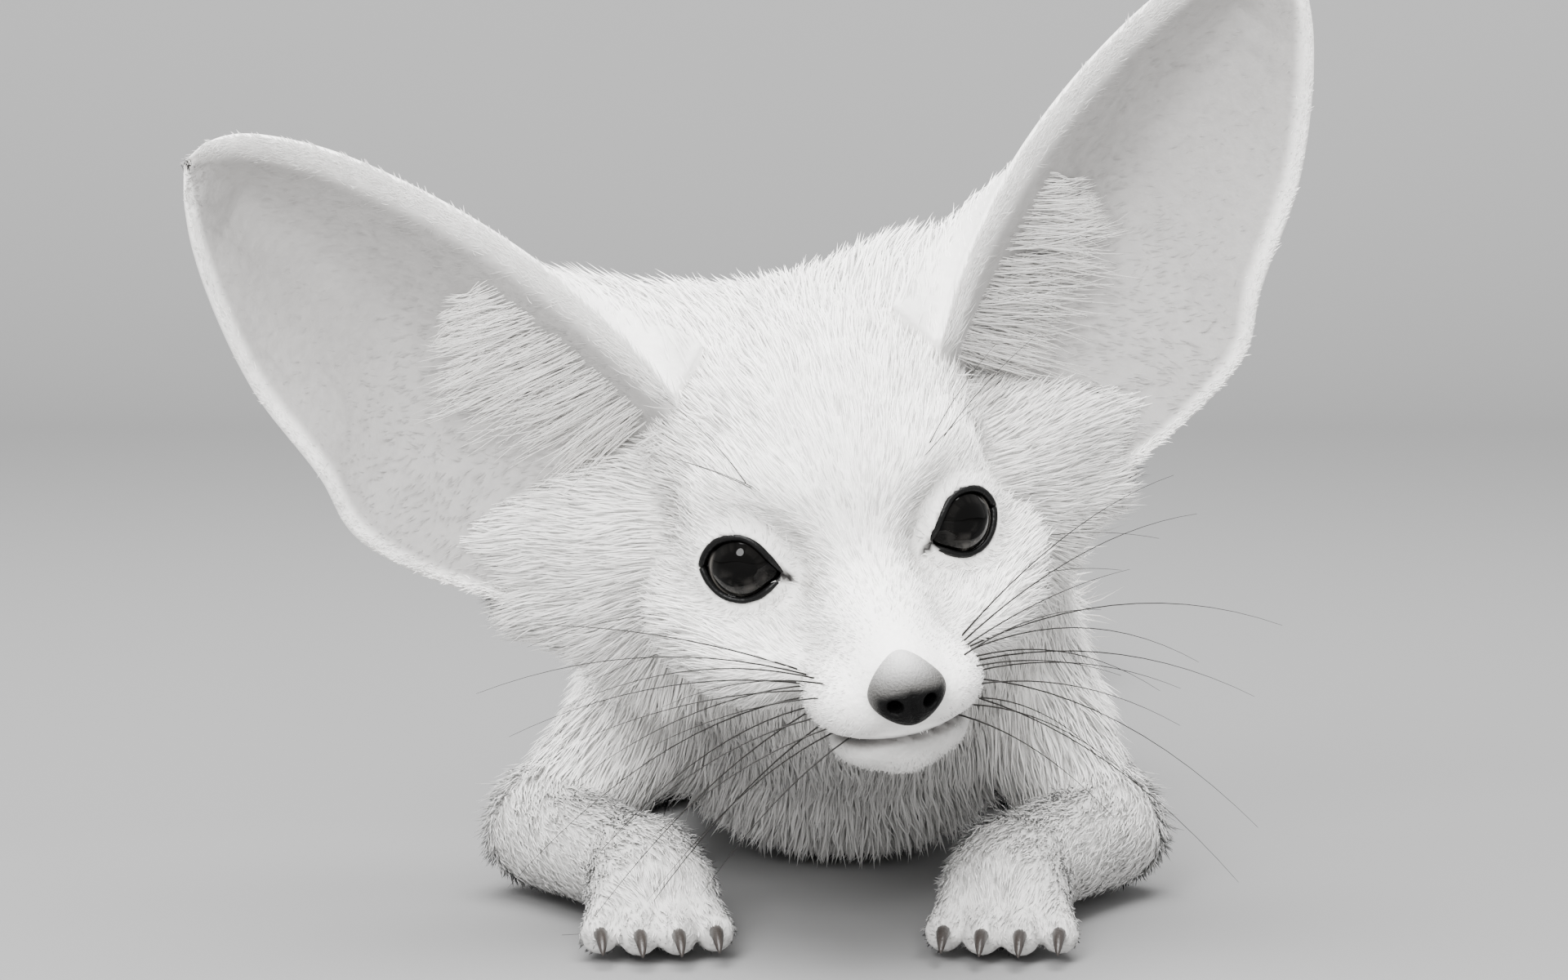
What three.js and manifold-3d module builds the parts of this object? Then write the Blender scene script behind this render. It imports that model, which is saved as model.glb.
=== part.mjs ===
// A young fennec fox, life size, lying on its chest with its forepaws ahead and its head raised, tilted and turned.
// Millimetres. The fox faces -Y, its left is +X and +Z is up. The origin is the middle of its belly, on the floor.
// The solids are the outside of the coat; each part of the body is a solid of its own, a hair's breadth from the next.
import * as THREE from "three";
import { mergeVertices } from "three/addons/utils/BufferGeometryUtils.js";
import Module from "manifold-3d";

const wasm = await Module();
wasm.setup();

const at = (x, y, z) => new THREE.Vector3(x, y, z);
const { clamp, lerp, degToRad } = THREE.MathUtils;

// Driving dimensions

const GAP = 0.3;
const SIDES = { left: 1, right: -1 };

const HEAD = {
  place: at(0, -150, 68), // the point midway between the eyes
  nodDown: 12,
  turnLeft: 8,
  tiltRight: 11,
};

const EYE = { centre: at(16.3, 7.3, 0), ball: 8, outward: 24, lid: 1.1, openWide: 13.4, openHigh: 10.8, slant: 6 };
const NOSE = { middle: at(0, -29.5, -15.2), wide: 12.4, deep: 10, high: 11 };
const MOUTH = { slit: 0.6, middle: at(0, -28, -24.2), side: at(8, -23, -25), corner: at(13, -11, -22.6), lip: 1.2 };

const TORSO = { wide: 90, high: 86 };
const CLAW = { length: 5.5, droop: 3.6, widths: [1.25, 1.15, 0.75], flatness: 0.8 };
const LEG_SHIFT = -4; // the forelegs lie a little to the fox's right
const TAIL = { root: 13, coat: 22, core: 0.55, sides: 10, locks: 30, lock: 66 };

// The rims of the left ear in the head's own frame, from the base to the tip
const EAR_TIP = at(91.5, 28, 77);
const INNER_RIM = [at(21, 20, 25), at(29, 26.5, 37.5), at(42, 31.5, 52.3), at(57, 33, 65.3), at(71.5, 31, 75.3), at(83.5, 29, 79.8), EAR_TIP];
const OUTER_RIM = [at(50, 44, -13), at(67, 42, -3), at(78.5, 36.5, 9), at(82, 34.5, 20), at(90, 31, 38), at(94.3, 28, 58), at(94.6, 27.5, 69), EAR_TIP];
const EAR = { skin: 2.2, rimRoll: 2.2, baseFur: 6, bowlDeep: 25, bowlTip: 5, overhang: 0.22 };

// Shapes as signed distances: negative inside, zero on the surface

// An ellipsoid.
function ball(centre, radii) {
  return (p) => {
    const x = (p.x - centre.x) / radii.x;
    const y = (p.y - centre.y) / radii.y;
    const z = (p.z - centre.z) / radii.z;
    const near = Math.hypot(x, y, z);
    const steep = Math.hypot(x / radii.x, y / radii.y, z / radii.z);
    return steep < 1e-6 ? -Math.min(radii.x, radii.y, radii.z) : (near * (near - 1)) / steep;
  };
}

// A rod that tapers from one round end to the other.
function rod(from, to, fromRadius, toRadius) {
  const along = to.clone().sub(from);
  const foot = at(0, 0, 0);
  return (p) => {
    const t = clamp(foot.subVectors(p, from).dot(along) / along.lengthSq(), 0, 1);
    return p.distanceTo(foot.copy(from).addScaledVector(along, t)) - lerp(fromRadius, toRadius, t);
  };
}

// The same shape on both sides of the middle plane.
function paired(shape) {
  return (p) => shape(at(Math.abs(p.x), p.y, p.z));
}

// Shapes run together with a soft fillet.
function blend(softness, shapes) {
  return (p) =>
    shapes.reduce((d, shape) => {
      const e = shape(p);
      const near = Math.max(softness - Math.abs(d - e), 0) / softness;
      return Math.min(d, e) - (near * near * softness) / 4;
    }, 1e6);
}

// A shape with a soft hollow where another lies.
function hollow(shape, softness, tool) {
  return (p) => {
    const d = shape(p);
    const e = -tool(p);
    const near = Math.max(softness - Math.abs(d - e), 0) / softness;
    return Math.max(d, e) + (near * near * softness) / 4;
  };
}

// The way out of a shape near a point.
function outward(field, p) {
  const step = 0.2;
  const slope = (x, y, z) => field(at(p.x + x, p.y + y, p.z + z)) - field(at(p.x - x, p.y - y, p.z - z));
  return at(slope(step, 0, 0), slope(0, step, 0), slope(0, 0, step)).normalize();
}

// The nearest point at a height over the surface of a shape.
function onSurface(field, start, height = 0) {
  const p = start.clone();
  for (let i = 0; i < 4; i++) p.addScaledVector(outward(field, p), height - field(p));
  return p;
}

// From shapes to closed meshes

// A closed triangle mesh as a solid, its faces turned outwards.
function solid(positions, faces) {
  const geometry = new THREE.BufferGeometry();
  geometry.setAttribute("position", new THREE.Float32BufferAttribute(positions, 3));
  geometry.setIndex(faces);
  return solidOf(geometry);
}

function solidOf(geometry) {
  const bare = geometry.clone().deleteAttribute("normal").deleteAttribute("uv");
  const merged = mergeVertices(bare, 1e-4);
  const vertProperties = merged.attributes.position.array;
  const triVerts = new Uint32Array(merged.index.array);
  const made = new wasm.Manifold(new wasm.Mesh({ numProp: 3, vertProperties, triVerts }));
  if (made.volume() > 0) return made;
  for (let i = 0; i < triVerts.length; i += 3) [triVerts[i], triVerts[i + 1]] = [triVerts[i + 1], triVerts[i]];
  return new wasm.Manifold(new wasm.Mesh({ numProp: 3, vertProperties, triVerts }));
}

// Rings of points, each with the same count, closed by a point at either end.
function rings(startPole, rows, endPole) {
  const sides = rows[0].length;
  const points = [startPole, ...rows.flat(), endPole];
  const faces = [];
  const last = points.length - 1;
  for (let j = 0; j < sides; j++) {
    const k = (j + 1) % sides;
    faces.push(0, 1 + k, 1 + j);
    const end = 1 + (rows.length - 1) * sides;
    faces.push(last, end + j, end + k);
    for (let i = 0; i + 1 < rows.length; i++) {
      const a = 1 + i * sides;
      const b = a + sides;
      faces.push(a + j, a + k, b + k, a + j, b + k, b + j);
    }
  }
  return solid(points.flatMap((p) => [p.x, p.y, p.z]), faces);
}

// A thick sheet: two like grids of points, its front and its back, joined all round their border.
function sheet(front, back) {
  const rows = front.length - 1;
  const across = front[0].length - 1;
  const f = (i, j) => i * (across + 1) + j;
  const b = (i, j) => (rows + 1) * (across + 1) + f(i, j);
  const faces = [];
  const quad = (p, q, r, s) => faces.push(p, q, r, p, r, s);
  for (let i = 0; i < rows; i++) {
    for (let j = 0; j < across; j++) {
      quad(f(i, j), f(i + 1, j), f(i + 1, j + 1), f(i, j + 1));
      quad(b(i, j), b(i, j + 1), b(i + 1, j + 1), b(i + 1, j));
    }
    quad(f(i + 1, 0), f(i, 0), b(i, 0), b(i + 1, 0));
    quad(f(i, across), f(i + 1, across), b(i + 1, across), b(i, across));
  }
  for (let j = 0; j < across; j++) {
    quad(f(0, j), f(0, j + 1), b(0, j + 1), b(0, j));
    quad(f(rows, j + 1), f(rows, j), b(rows, j), b(rows, j + 1));
  }
  return solid([...front, ...back].flat().flatMap((p) => [p.x, p.y, p.z]), faces);
}

// How far from a point inside the surface lies along a direction.
function reach(field, from, direction, grow) {
  const probe = at(0, 0, 0);
  const outside = (r) => field(probe.copy(from).addScaledVector(direction, r)) > grow;
  let far = 0;
  while (!outside(far) && far < 150) far += 2;
  let near = Math.max(far - 2, 0);
  for (let i = 0; i < 14; i++) {
    const middle = (near + far) / 2;
    if (outside(middle)) far = middle;
    else near = middle;
  }
  return near;
}

// The skin of a shape: rings of rays cast from a spine that runs inside it, fanned round at both ends to a pole.
// The rays may lean forwards by an angle that changes along the spine.
function skin(field, spine, { count, sides, fan = 3, lean = () => 0, across = at(1, 0, 0), grow = 0 }) {
  const curve = new THREE.CatmullRomCurve3(spine);
  const touch = (from, direction) => from.clone().addScaledVector(direction, reach(field, from, direction, grow));
  const ring = (t, angle) => {
    const centre = curve.getPointAt(t);
    const forward = curve.getTangentAt(t);
    const right = across.clone().addScaledVector(forward, -across.dot(forward)).normalize();
    const up = forward.clone().cross(right);
    return Array.from({ length: sides }, (_, j) => {
      const turn = (2 * Math.PI * (j + 0.5)) / sides;
      const out = right.clone().multiplyScalar(Math.cos(turn)).addScaledVector(up, Math.sin(turn));
      return touch(centre, out.multiplyScalar(Math.cos(angle)).addScaledVector(forward, Math.sin(angle)));
    });
  };
  const quarter = Math.PI / 2;
  const parts = Array.from({ length: fan }, (_, i) => (i + 1) / (fan + 1));
  const rows = [
    ...parts.map((s) => ring(0, lerp(-quarter, lean(0), s))),
    ...Array.from({ length: count }, (_, i) => ring(i / (count - 1), lean(i / (count - 1)))),
    ...parts.map((s) => ring(1, lerp(lean(1), quarter, s))),
  ];
  return rings(
    touch(curve.getPointAt(0), curve.getTangentAt(0).negate()),
    rows,
    touch(curve.getPointAt(1), curve.getTangentAt(1)),
  );
}

// A curved spike of round or flat section: its middle line, its half-widths at each point, and a pointed end.
function spike(line, widths, flatness, outward, sides = 6) {
  const rows = line.slice(0, -1).map((p, i) => {
    const forward = line[i + 1].clone().sub(line[Math.max(i - 1, 0)]).normalize();
    const wide = outward.clone().cross(forward).normalize();
    const thick = forward.clone().cross(wide);
    return Array.from({ length: sides }, (_, j) => {
      const turn = (2 * Math.PI * j) / sides;
      return p
        .clone()
        .addScaledVector(wide, Math.cos(turn) * widths[i])
        .addScaledVector(thick, Math.sin(turn) * widths[i] * flatness);
    });
  });
  return rings(line[0], rows, line.at(-1));
}

// A seeded draw, the same each time, spread evenly from -1 to 1.
function seeded(seed) {
  let state = seed;
  return () => {
    state = (state * 1664525 + 1013904223) % 4294967296;
    return (state / 4294967296) * 2 - 1;
  };
}

const LOCK_TAPER = [0.6, 1, 0.7]; // the share of its width that a lock has from its root on; its tip is a point

// A flat, tapered lock along a path of points, each with the way out of the coat there.
function lock(path, wide, thick) {
  const rows = LOCK_TAPER.map((share, k) => {
    const { p, out } = path[k];
    const forward = path[k + 1].p.clone().sub(p).normalize();
    const aside = out.clone().cross(forward).normalize();
    const up = forward.clone().cross(aside);
    const point = (a, b) => p.clone().addScaledVector(aside, a * share * wide).addScaledVector(up, b * thick);
    return [point(0.5, 0), point(0, 0.5 * share), point(-0.5, 0), point(0, -0.5 * share)];
  });
  return rings(path[0].p, rows, path.at(-1).p);
}

function union(solids) {
  return solids.reduce((a, b) => a.add(b));
}

function largest(made) {
  return made.decompose().sort((a, b) => b.volume() - a.volume())[0];
}

// The nodes

const fox = new THREE.Group();
const headGroup = new THREE.Group();
headGroup.position.copy(HEAD.place);
headGroup.rotation.order = "YZX";
headGroup.rotation.set(degToRad(HEAD.nodDown), degToRad(-HEAD.tiltRight), degToRad(HEAD.turnLeft));
headGroup.updateMatrixWorld(true);
fox.add(headGroup);

const COATS = {
  fur: { color: 0xe9e4dc, roughness: 0.9, metalness: 0 },
  earSkin: { color: 0xdcd5ce, roughness: 0.8, metalness: 0 },
  darkFur: { color: 0x2c2826, roughness: 0.9, metalness: 0 },
  nose: { color: 0x1c1a1a, roughness: 0.45, metalness: 0 },
  eye: { color: 0x0b0908, roughness: 0.08, metalness: 0 },
  claw: { color: 0x34302c, roughness: 0.5, metalness: 0 },
};

const placed = []; // what already stands, grown by the gap, to part the next solids from it

const inHead = headGroup.matrixWorld;
const outOfHead = inHead.clone().invert();
const headPoint = (x, y, z) => at(x, y, z).applyMatrix4(inHead);

function touches(a, b) {
  const p = a.boundingBox();
  const q = b.boundingBox();
  return [0, 1, 2].every((i) => p.min[i] <= q.max[i] && q.min[i] <= p.max[i]);
}

// Parts a solid from what stands already, and puts it in the group as a named mesh.
function place(name, coat, made, { group = fox, grown = null } = {}) {
  let body = group === headGroup ? made.transform(inHead.elements) : made;
  for (const other of placed) if (touches(body, other)) body = body.subtract(other);
  body = largest(body.trimByPlane([0, 0, 1], 0));
  if (grown) placed.push(group === headGroup ? grown.transform(inHead.elements) : grown);
  const local = group === headGroup ? body.transform(outOfHead.elements) : body;
  const { vertProperties, triVerts } = local.getMesh();
  const geometry = new THREE.BufferGeometry();
  geometry.setAttribute("position", new THREE.BufferAttribute(new Float32Array(vertProperties), 3));
  geometry.setIndex(new THREE.BufferAttribute(new Uint32Array(triVerts), 1));
  geometry.computeVertexNormals();
  const mesh = new THREE.Mesh(geometry, new THREE.MeshStandardMaterial(COATS[coat]));
  mesh.name = name;
  group.add(mesh);
}

// Places the skin of a field, and keeps a grown copy of it to part later solids from it.
function placeSkin(name, coat, field, spine, detail, options = {}) {
  place(name, coat, skin(field, spine, detail), {
    ...options,
    grown: skin(field, spine, { ...detail, grow: GAP }),
  });
}

// Eyes

const eyeOutward = degToRad(EYE.outward);

function eyeAxes(side) {
  const gaze = at(side * Math.sin(eyeOutward), -Math.cos(eyeOutward), 0);
  return { gaze, centre: at(side * EYE.centre.x, EYE.centre.y, EYE.centre.z) };
}

function sphere(centre, radius, wide, high) {
  return solidOf(new THREE.SphereGeometry(radius, wide, high)).translate(centre.toArray());
}

// The prism of the almond-shaped opening between the lids.
function lidOpening(side) {
  const { gaze, centre } = eyeAxes(side);
  const half = EYE.openWide / 2;
  const outline = new THREE.Shape()
    .moveTo(-half, -1)
    .quadraticCurveTo(-half * 0.55, EYE.openHigh * 0.5, 0, EYE.openHigh * 0.5)
    .quadraticCurveTo(half * 0.75, EYE.openHigh * 0.5, half, 0)
    .quadraticCurveTo(half * 0.7, -EYE.openHigh * 0.5, 0, -EYE.openHigh * 0.5)
    .quadraticCurveTo(-half * 0.5, -EYE.openHigh * 0.5, -half, -1);
  const prism = new THREE.ExtrudeGeometry(outline, { depth: 20, bevelEnabled: false, curveSegments: 5 });
  prism.scale(side, 1, 1);
  prism.rotateZ(side * degToRad(EYE.slant));
  const turned = new THREE.Matrix4().lookAt(gaze, at(0, 0, 0), at(0, 0, 1)).setPosition(centre);
  return solidOf(prism.applyMatrix4(turned));
}

// Head

const skull = [
  ball(at(0, 29, 9), at(30, 30, 28)),
  ball(at(0, 9, 3), at(20, 16, 17)),
  paired(ball(at(13.5, 8, 8), at(10, 9, 6.5))),
  paired(ball(at(18, 15, -10), at(16, 18, 14))),
  paired(ball(at(15, 4, -16), at(12, 13, 8))),
  rod(at(-17, 42, 23.5), at(17, 42, 23.5), 15, 15),
  paired(ball(at(30, 38, -6), at(14, 14, 18))),
];
const muzzle = [
  rod(at(0, 4, -8), at(0, -23.5, -14.8), 13, 7.2),
  paired(ball(at(6.3, -17.5, -18), at(7.2, 10.5, 6.2))),
  rod(at(0, 10, -20), at(0, -18.5, -26), 12, 6),
];
const eyeDips = paired(ball(at(20.5, -2.5, 0), at(9.5, 6, 6.5)));
const headField = hollow(blend(7, [blend(9, skull), blend(5, muzzle)]), 9, eyeDips);
const headSpine = [at(0, 36, 2), at(0, 22, 0), at(0, 10, -4), at(0, -4, -10), at(0, -19, -17.5)];
const headDetail = {
  count: 18,
  sides: 34,
  fan: 4,
  lean: (t) => degToRad(52) * THREE.MathUtils.smoothstep(t, 0, 0.55),
};

// The U-shaped line of a lip, from one corner round the front to the other, lying on the surface of the head.
function lip(lift) {
  const guide = (p, side) => onSurface(headField, at(side * p.x, p.y, p.z + lift), -MOUTH.lip * 0.4);
  const line = new THREE.CatmullRomCurve3([
    guide(MOUTH.corner, -1),
    guide(MOUTH.side, -1),
    guide(MOUTH.middle, 1),
    guide(MOUTH.side, 1),
    guide(MOUTH.corner, 1),
  ]);
  const section = new THREE.Shape().absellipse(0, 0, MOUTH.lip, MOUTH.lip, 0, 2 * Math.PI);
  const options = { steps: 16, curveSegments: 3, bevelEnabled: false, extrudePath: line };
  return solidOf(new THREE.ExtrudeGeometry(section, options));
}

// A thin sheet that parts the lips, as wide as the muzzle.
function mouthSlit() {
  const line = [at(0, -40, MOUTH.middle.z + 0.4), at(0, -26, MOUTH.side.z), at(0, -11, MOUTH.corner.z)];
  const curve = new THREE.CatmullRomCurve3(line).getPoints(8);
  const side = (dz) => curve.map((p) => new THREE.Vector2(p.y, p.z + dz));
  const outline = new THREE.Shape([...side(MOUTH.slit / 2), ...side(-MOUTH.slit / 2).reverse()]);
  const sheet = new THREE.ExtrudeGeometry(outline, { depth: 60, bevelEnabled: false });
  sheet.translate(0, 0, -30);
  sheet.applyMatrix4(new THREE.Matrix4().set(0, 0, 1, 0, 1, 0, 0, 0, 0, 1, 0, 0, 0, 0, 0, 1));
  return solidOf(sheet);
}

function nosePad(grow) {
  const half = at(NOSE.wide / 2, NOSE.deep / 2, NOSE.high / 2).addScalar(grow);
  const bulb = ball(NOSE.middle, half);
  const bridge = ball(NOSE.middle.clone().add(at(0, 3, 2.4)), at(4.2, 5.5, 3.4).addScalar(grow));
  const ends = [NOSE.middle.clone().add(at(0, 2, 0)), NOSE.middle.clone().add(at(0, -1, 0))];
  return skin(blend(2, [bulb, bridge]), ends, { count: 3, sides: 16, fan: 3 });
}

function buildHead() {
  const bare = skin(headField, headSpine, headDetail);
  let made = bare.add(lip(1.1)).add(lip(-1.3));
  for (const side of Object.values(SIDES)) {
    const { centre } = eyeAxes(side);
    made = made.add(sphere(centre, EYE.ball + GAP + EYE.lid, 16, 10));
    made = made.subtract(sphere(centre, EYE.ball + GAP, 14, 9)).subtract(lidOpening(side));
  }
  made = largest(made.subtract(mouthSlit()));
  const grown = skin(headField, headSpine, { ...headDetail, grow: GAP });
  place("nose", "nose", buildNose(), { group: headGroup, grown: nosePad(GAP) });
  for (const [name, side] of Object.entries(SIDES)) {
    place("eye_" + name, "eye", sphere(eyeAxes(side).centre, EYE.ball, 12, 8), { group: headGroup });
  }
  place("head", "fur", made, { group: headGroup, grown });
}

function buildNose() {
  let made = nosePad(0);
  for (const side of Object.values(SIDES)) {
    const front = NOSE.middle.clone().add(at(side * 2.9, -NOSE.deep / 2, -1.2));
    const inner = front.clone().add(at(side * -0.4, 4, 0.6));
    const slit = front.clone().add(at(side * 3.2, 2.2, -1.4));
    made = made.subtract(skin(rod(front, inner, 1.5, 1.1), [front, inner], { count: 2, sides: 8, fan: 1 }));
    made = made.subtract(skin(rod(front, slit, 0.8, 0.5), [front, slit], { count: 2, sides: 5, fan: 1 }));
  }
  const top = NOSE.middle.clone().add(at(0, -NOSE.deep / 2 - 0.4, 1));
  const foot = NOSE.middle.clone().add(at(0, -NOSE.deep / 2 + 1.6, -5.4));
  return largest(made.subtract(skin(rod(top, foot, 0.45, 0.6), [top, foot], { count: 2, sides: 5, fan: 1 })));
}

// Ears

const innerRim = new THREE.CatmullRomCurve3(INNER_RIM);
const outerRim = new THREE.CatmullRomCurve3(OUTER_RIM);

// A point of the ear's back: u runs from base to tip, v from the inner to the outer rim.
function earPoint(side, u, v) {
  const inner = innerRim.getPointAt(u);
  const outer = outerRim.getPointAt(u);
  const overhang = EAR.overhang * Math.max(0, 1 - u / 0.4);
  const across = v - overhang * Math.sin(2 * Math.PI * v) * (v < 0.5 ? 1 : 0.3);
  const deep = lerp(EAR.bowlTip, EAR.bowlDeep, Math.pow(1 - u, 0.8)) * Math.min(1, (1 - u) * 6);
  const p = inner.lerp(outer, across).add(at(0, deep * Math.pow(Math.sin(Math.PI * v), 0.8), 0));
  return at(side * p.x, p.y, p.z);
}

// How thick the ear is at a point, with a furred roll along its inner rim.
function earThickness(u, v) {
  const roll = EAR.rimRoll * Math.exp(-Math.pow((v - 0.06) / 0.09, 2)) * Math.min(1, (1 - u) * 5);
  return EAR.skin + roll;
}

// The fleshy root of the ear, that closes the bottom of its cup and runs out along its lower rim.
const earRoot = (side) =>
  blend(6, [
    rod(at(side * 28, 41, -1), at(side * 63, 43, 3), 17, 4.5),
    ball(at(side * 37, 44, -13), at(13, 13, 14)),
  ]);
const rootDetail = { count: 4, sides: 12, fan: 2 };
const bladeDetail = { along: 12, across: 10, end: 0.975, step: 0.004 };

// The ear's blade: a bowl-shaped sheet from the root up to the tip.
function earBlade(side, grow) {
  const { along, across, end, step } = bladeDetail;
  const front = [];
  const back = [];
  for (let i = 0; i <= along; i++) {
    const u = end * Math.pow(i / along, 0.9);
    const ends = [front, back].map((grid) => grid[grid.push([]) - 1]);
    for (let j = 0; j <= across; j++) {
      const v = 0.5 - 0.5 * Math.cos((Math.PI * j) / across);
      const p = earPoint(side, u, v);
      const alongEar = earPoint(side, u + step, v).sub(earPoint(side, Math.max(u - step, 0), v));
      const acrossEar = earPoint(side, u, Math.min(v + step, 1)).sub(earPoint(side, u, Math.max(v - step, 0)));
      const forward = alongEar.cross(acrossEar).normalize().multiplyScalar(-side);
      const onRim = j === 0 || j === across;
      const fur = EAR.baseFur * Math.max(0, 1 - u / 0.35) * Math.sin(Math.PI * v);
      ends[0].push(p.clone().addScaledVector(forward, earThickness(u, v) * (onRim ? 0.7 : 1) + grow));
      ends[1].push(p.clone().addScaledVector(forward, -fur - grow));
    }
  }
  const tip = at(side * EAR_TIP.x, EAR_TIP.y - 1, EAR_TIP.z);
  for (const grid of [front, back]) grid.push(grid.at(-1).map((p) => tip.clone().lerp(p, 0.35)));
  return sheet(front, back);
}

// Long hairs from the inner rim, in two layers, that sweep over the cup towards the outer rim.
const EAR_LOCKS = { from: 0.03, to: 0.54, layers: 2, count: 6, wide: 9, thick: 2 };

function earLocks(side) {
  const draw = seeded(3);
  const locks = [];
  for (let layer = 0; layer < EAR_LOCKS.layers; layer++) {
    for (let i = 0; i < EAR_LOCKS.count; i++) {
      const along = (i + layer / EAR_LOCKS.layers) / (EAR_LOCKS.count - 0.5);
      const u = lerp(EAR_LOCKS.from, EAR_LOCKS.to, along);
      const reachOver = lerp(0.46 - 0.1 * layer, 0.2, along * along) * (1 + 0.12 * draw());
      const path = LOCK_TAPER.concat(0).map((_, k) => {
        const s = k / LOCK_TAPER.length;
        const bowl = earPoint(side, u + 0.06 * s, 0.07 + reachOver * s);
        const level = earPoint(side, u, 0.07).y - 1 - layer * 1.6 + 5 * s * s;
        return { p: at(bowl.x, Math.min(level, bowl.y - 2.6), bowl.z), out: at(0, -1, 0) };
      });
      locks.push(lock(path, EAR_LOCKS.wide, EAR_LOCKS.thick));
    }
  }
  return locks;
}

function buildEar(side, grow = 0) {
  const root = skin(earRoot(side), [at(side * 30, 41, -4), at(side * 61, 43, 2.5)], { ...rootDetail, grow });
  return earBlade(side, grow).add(root);
}

// Body

const torsoField = blend(22, [
  ball(at(0, -52, 42), at(TORSO.wide * 0.43, 36, TORSO.high * 0.47)),
  ball(at(0, -20, 40), at(TORSO.wide * 0.47, 48, TORSO.high * 0.49)),
  ball(at(0, 22, 41), at(TORSO.wide * 0.43, 48, TORSO.high * 0.5)),
  ball(at(0, 56, 39), at(TORSO.wide * 0.47, 33, TORSO.high * 0.47)),
]);
const torsoSpine = [at(0, -58, 42), at(0, -10, 42), at(0, 62, 40)];

const neckField = blend(12, [
  rod(at(0, -62, 50), headPoint(0, 42, -2), 35, 33),
  rod(at(0, -64, 42), headPoint(0, 28, -24), 31, 18),
  rod(headPoint(27, 47, -20), at(24, -70, 52), 18, 18),
  rod(headPoint(-27, 47, -20), at(-24, -70, 52), 18, 18),
]);
const neckSpine = [at(0, -60, 47), headPoint(0, 34, -8)];
const neckDetail = { count: 5, sides: 22, fan: 2 };

function buildLegs(name, side) {
  const p = (x, y, z) => at(side * x + LEG_SHIFT, y, z);
  const q = (x, y, z) => at(side * x, y, z);
  const detail = { count: 4, sides: 12, fan: 2 };

  const upperArm = [rod(q(29, -62, 40), p(47, -83, 15), 15, 11.5), ball(q(31, -58, 33), at(13, 16, 20))];
  placeSkin("upper_foreleg_" + name, "fur", blend(8, upperArm), [q(31, -61, 39), p(46, -81, 17)], detail);
  const forearm = [rod(p(50, -87, 11.5), p(31, -122, 10.5), 11.5, 9.5), rod(p(31, -122, 10.5), p(29, -132, 9), 9.5, 9)];
  placeSkin("forearm_" + name, "fur", blend(5, forearm), [p(49, -89, 11.5), p(29.5, -129, 10)], detail);
  buildPaw("forepaw_" + name, p(29.5, -133, 0), { turn: -side * 6, scale: 1, toes: 4, sides: 22 });

  const thigh = [ball(q(36, 42, 28), at(17, 37, 26)), rod(q(41, 62, 20), q(44, 20, 17), 14, 13)];
  placeSkin("thigh_" + name, "fur", blend(10, thigh), [q(38, 62, 25), q(42, 22, 22)], { ...detail, count: 5 });
  const shank = [rod(q(45, 14, 13), q(43, 80, 13), 10, 9), rod(q(50, 82, 8), q(50, 20, 7.5), 8, 7.5)];
  placeSkin("lower_hind_leg_" + name, "fur", blend(4, shank), [q(47, 17, 10), q(46, 80, 10)], detail);
  buildPaw("hind_paw_" + name, q(50, 8, 0), { turn: -side * 3, scale: 0.92, toes: 4, sides: 16 });
}

// A paw with its toes side by side, lying flat and pointing to -Y, and a claw at the end of each toe.
function buildPaw(name, heel, { turn, scale, toes, sides }) {
  const turned = new THREE.Matrix4().makeRotationZ(degToRad(turn)).setPosition(heel);
  const p = (x, y, z) => at(x * scale, y * scale, z * scale).applyMatrix4(turned);
  const spread = 5.6;
  const tips = Array.from({ length: toes }, (_, i) => {
    const x = (i - (toes - 1) / 2) * spread;
    return at(x * 1.12, -17 + Math.abs(x) * 0.42, 4.4);
  });
  const toeShapes = tips.map((t) => rod(p(t.x * 0.7, -4, 7.4), p(t.x, t.y + 1, t.z), 5.2 * scale, 4.5 * scale));
  const palm = ball(p(0, 2, 7.6), at(11.5, 12, 8.8).multiplyScalar(scale));
  const field = blend(1.6, [palm, ...toeShapes]);
  const spine = [p(0, 6, 7.4), p(0, -12.5, 5.4)];
  placeSkin(name, "fur", field, spine, { count: 4, sides, fan: 2 });
  tips.forEach((t, i) => {
    const forward = at(0, -1, 0.2).transformDirection(turned);
    const toe = p(t.x, t.y + 1, t.z);
    const base = toe.clone().addScaledVector(forward, reach(field, toe, forward, GAP + 0.05));
    const line = [0, 1, 2, 3].map((k) => {
      const s = k / 3;
      return base.clone().addScaledVector(forward, CLAW.length * s).add(at(0, 0, -CLAW.droop * s * s));
    });
    place(name + "_claw_" + (i + 1), "claw", spike(line, CLAW.widths, CLAW.flatness, at(0, 0, 1), 4));
  });
}

// Tail

const TAIL_PATH = [at(0, 74, 34), at(2, 104, 24), at(12, 142, 20), at(27, 180, 20), at(38, 216, 20), at(36, 250, 17), at(28, 276, 12)];
const tailCurve = new THREE.CatmullRomCurve3(TAIL_PATH);
const tailLength = tailCurve.getLength();
const GOLDEN_ANGLE = Math.PI * (3 - Math.sqrt(5));
const TAIL_PARTS = [
  { name: "tail_base", coat: "fur", from: 0, to: 0.36 },
  { name: "tail_middle", coat: "fur", from: 0.36, to: 0.72 },
  { name: "tail_tip", coat: "darkFur", from: 0.72, to: 1 },
];

// The tail's radius out to the tips of its coat, from root to tip.
function tailRadius(t) {
  const full = lerp(TAIL.root, TAIL.coat, Math.sin(Math.min(1, t / 0.5) * (Math.PI / 2)));
  return full * Math.sqrt(Math.max(0.02, 1 - Math.pow(clamp((t - 0.6) / 0.4, 0, 1), 2.2)));
}

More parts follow.
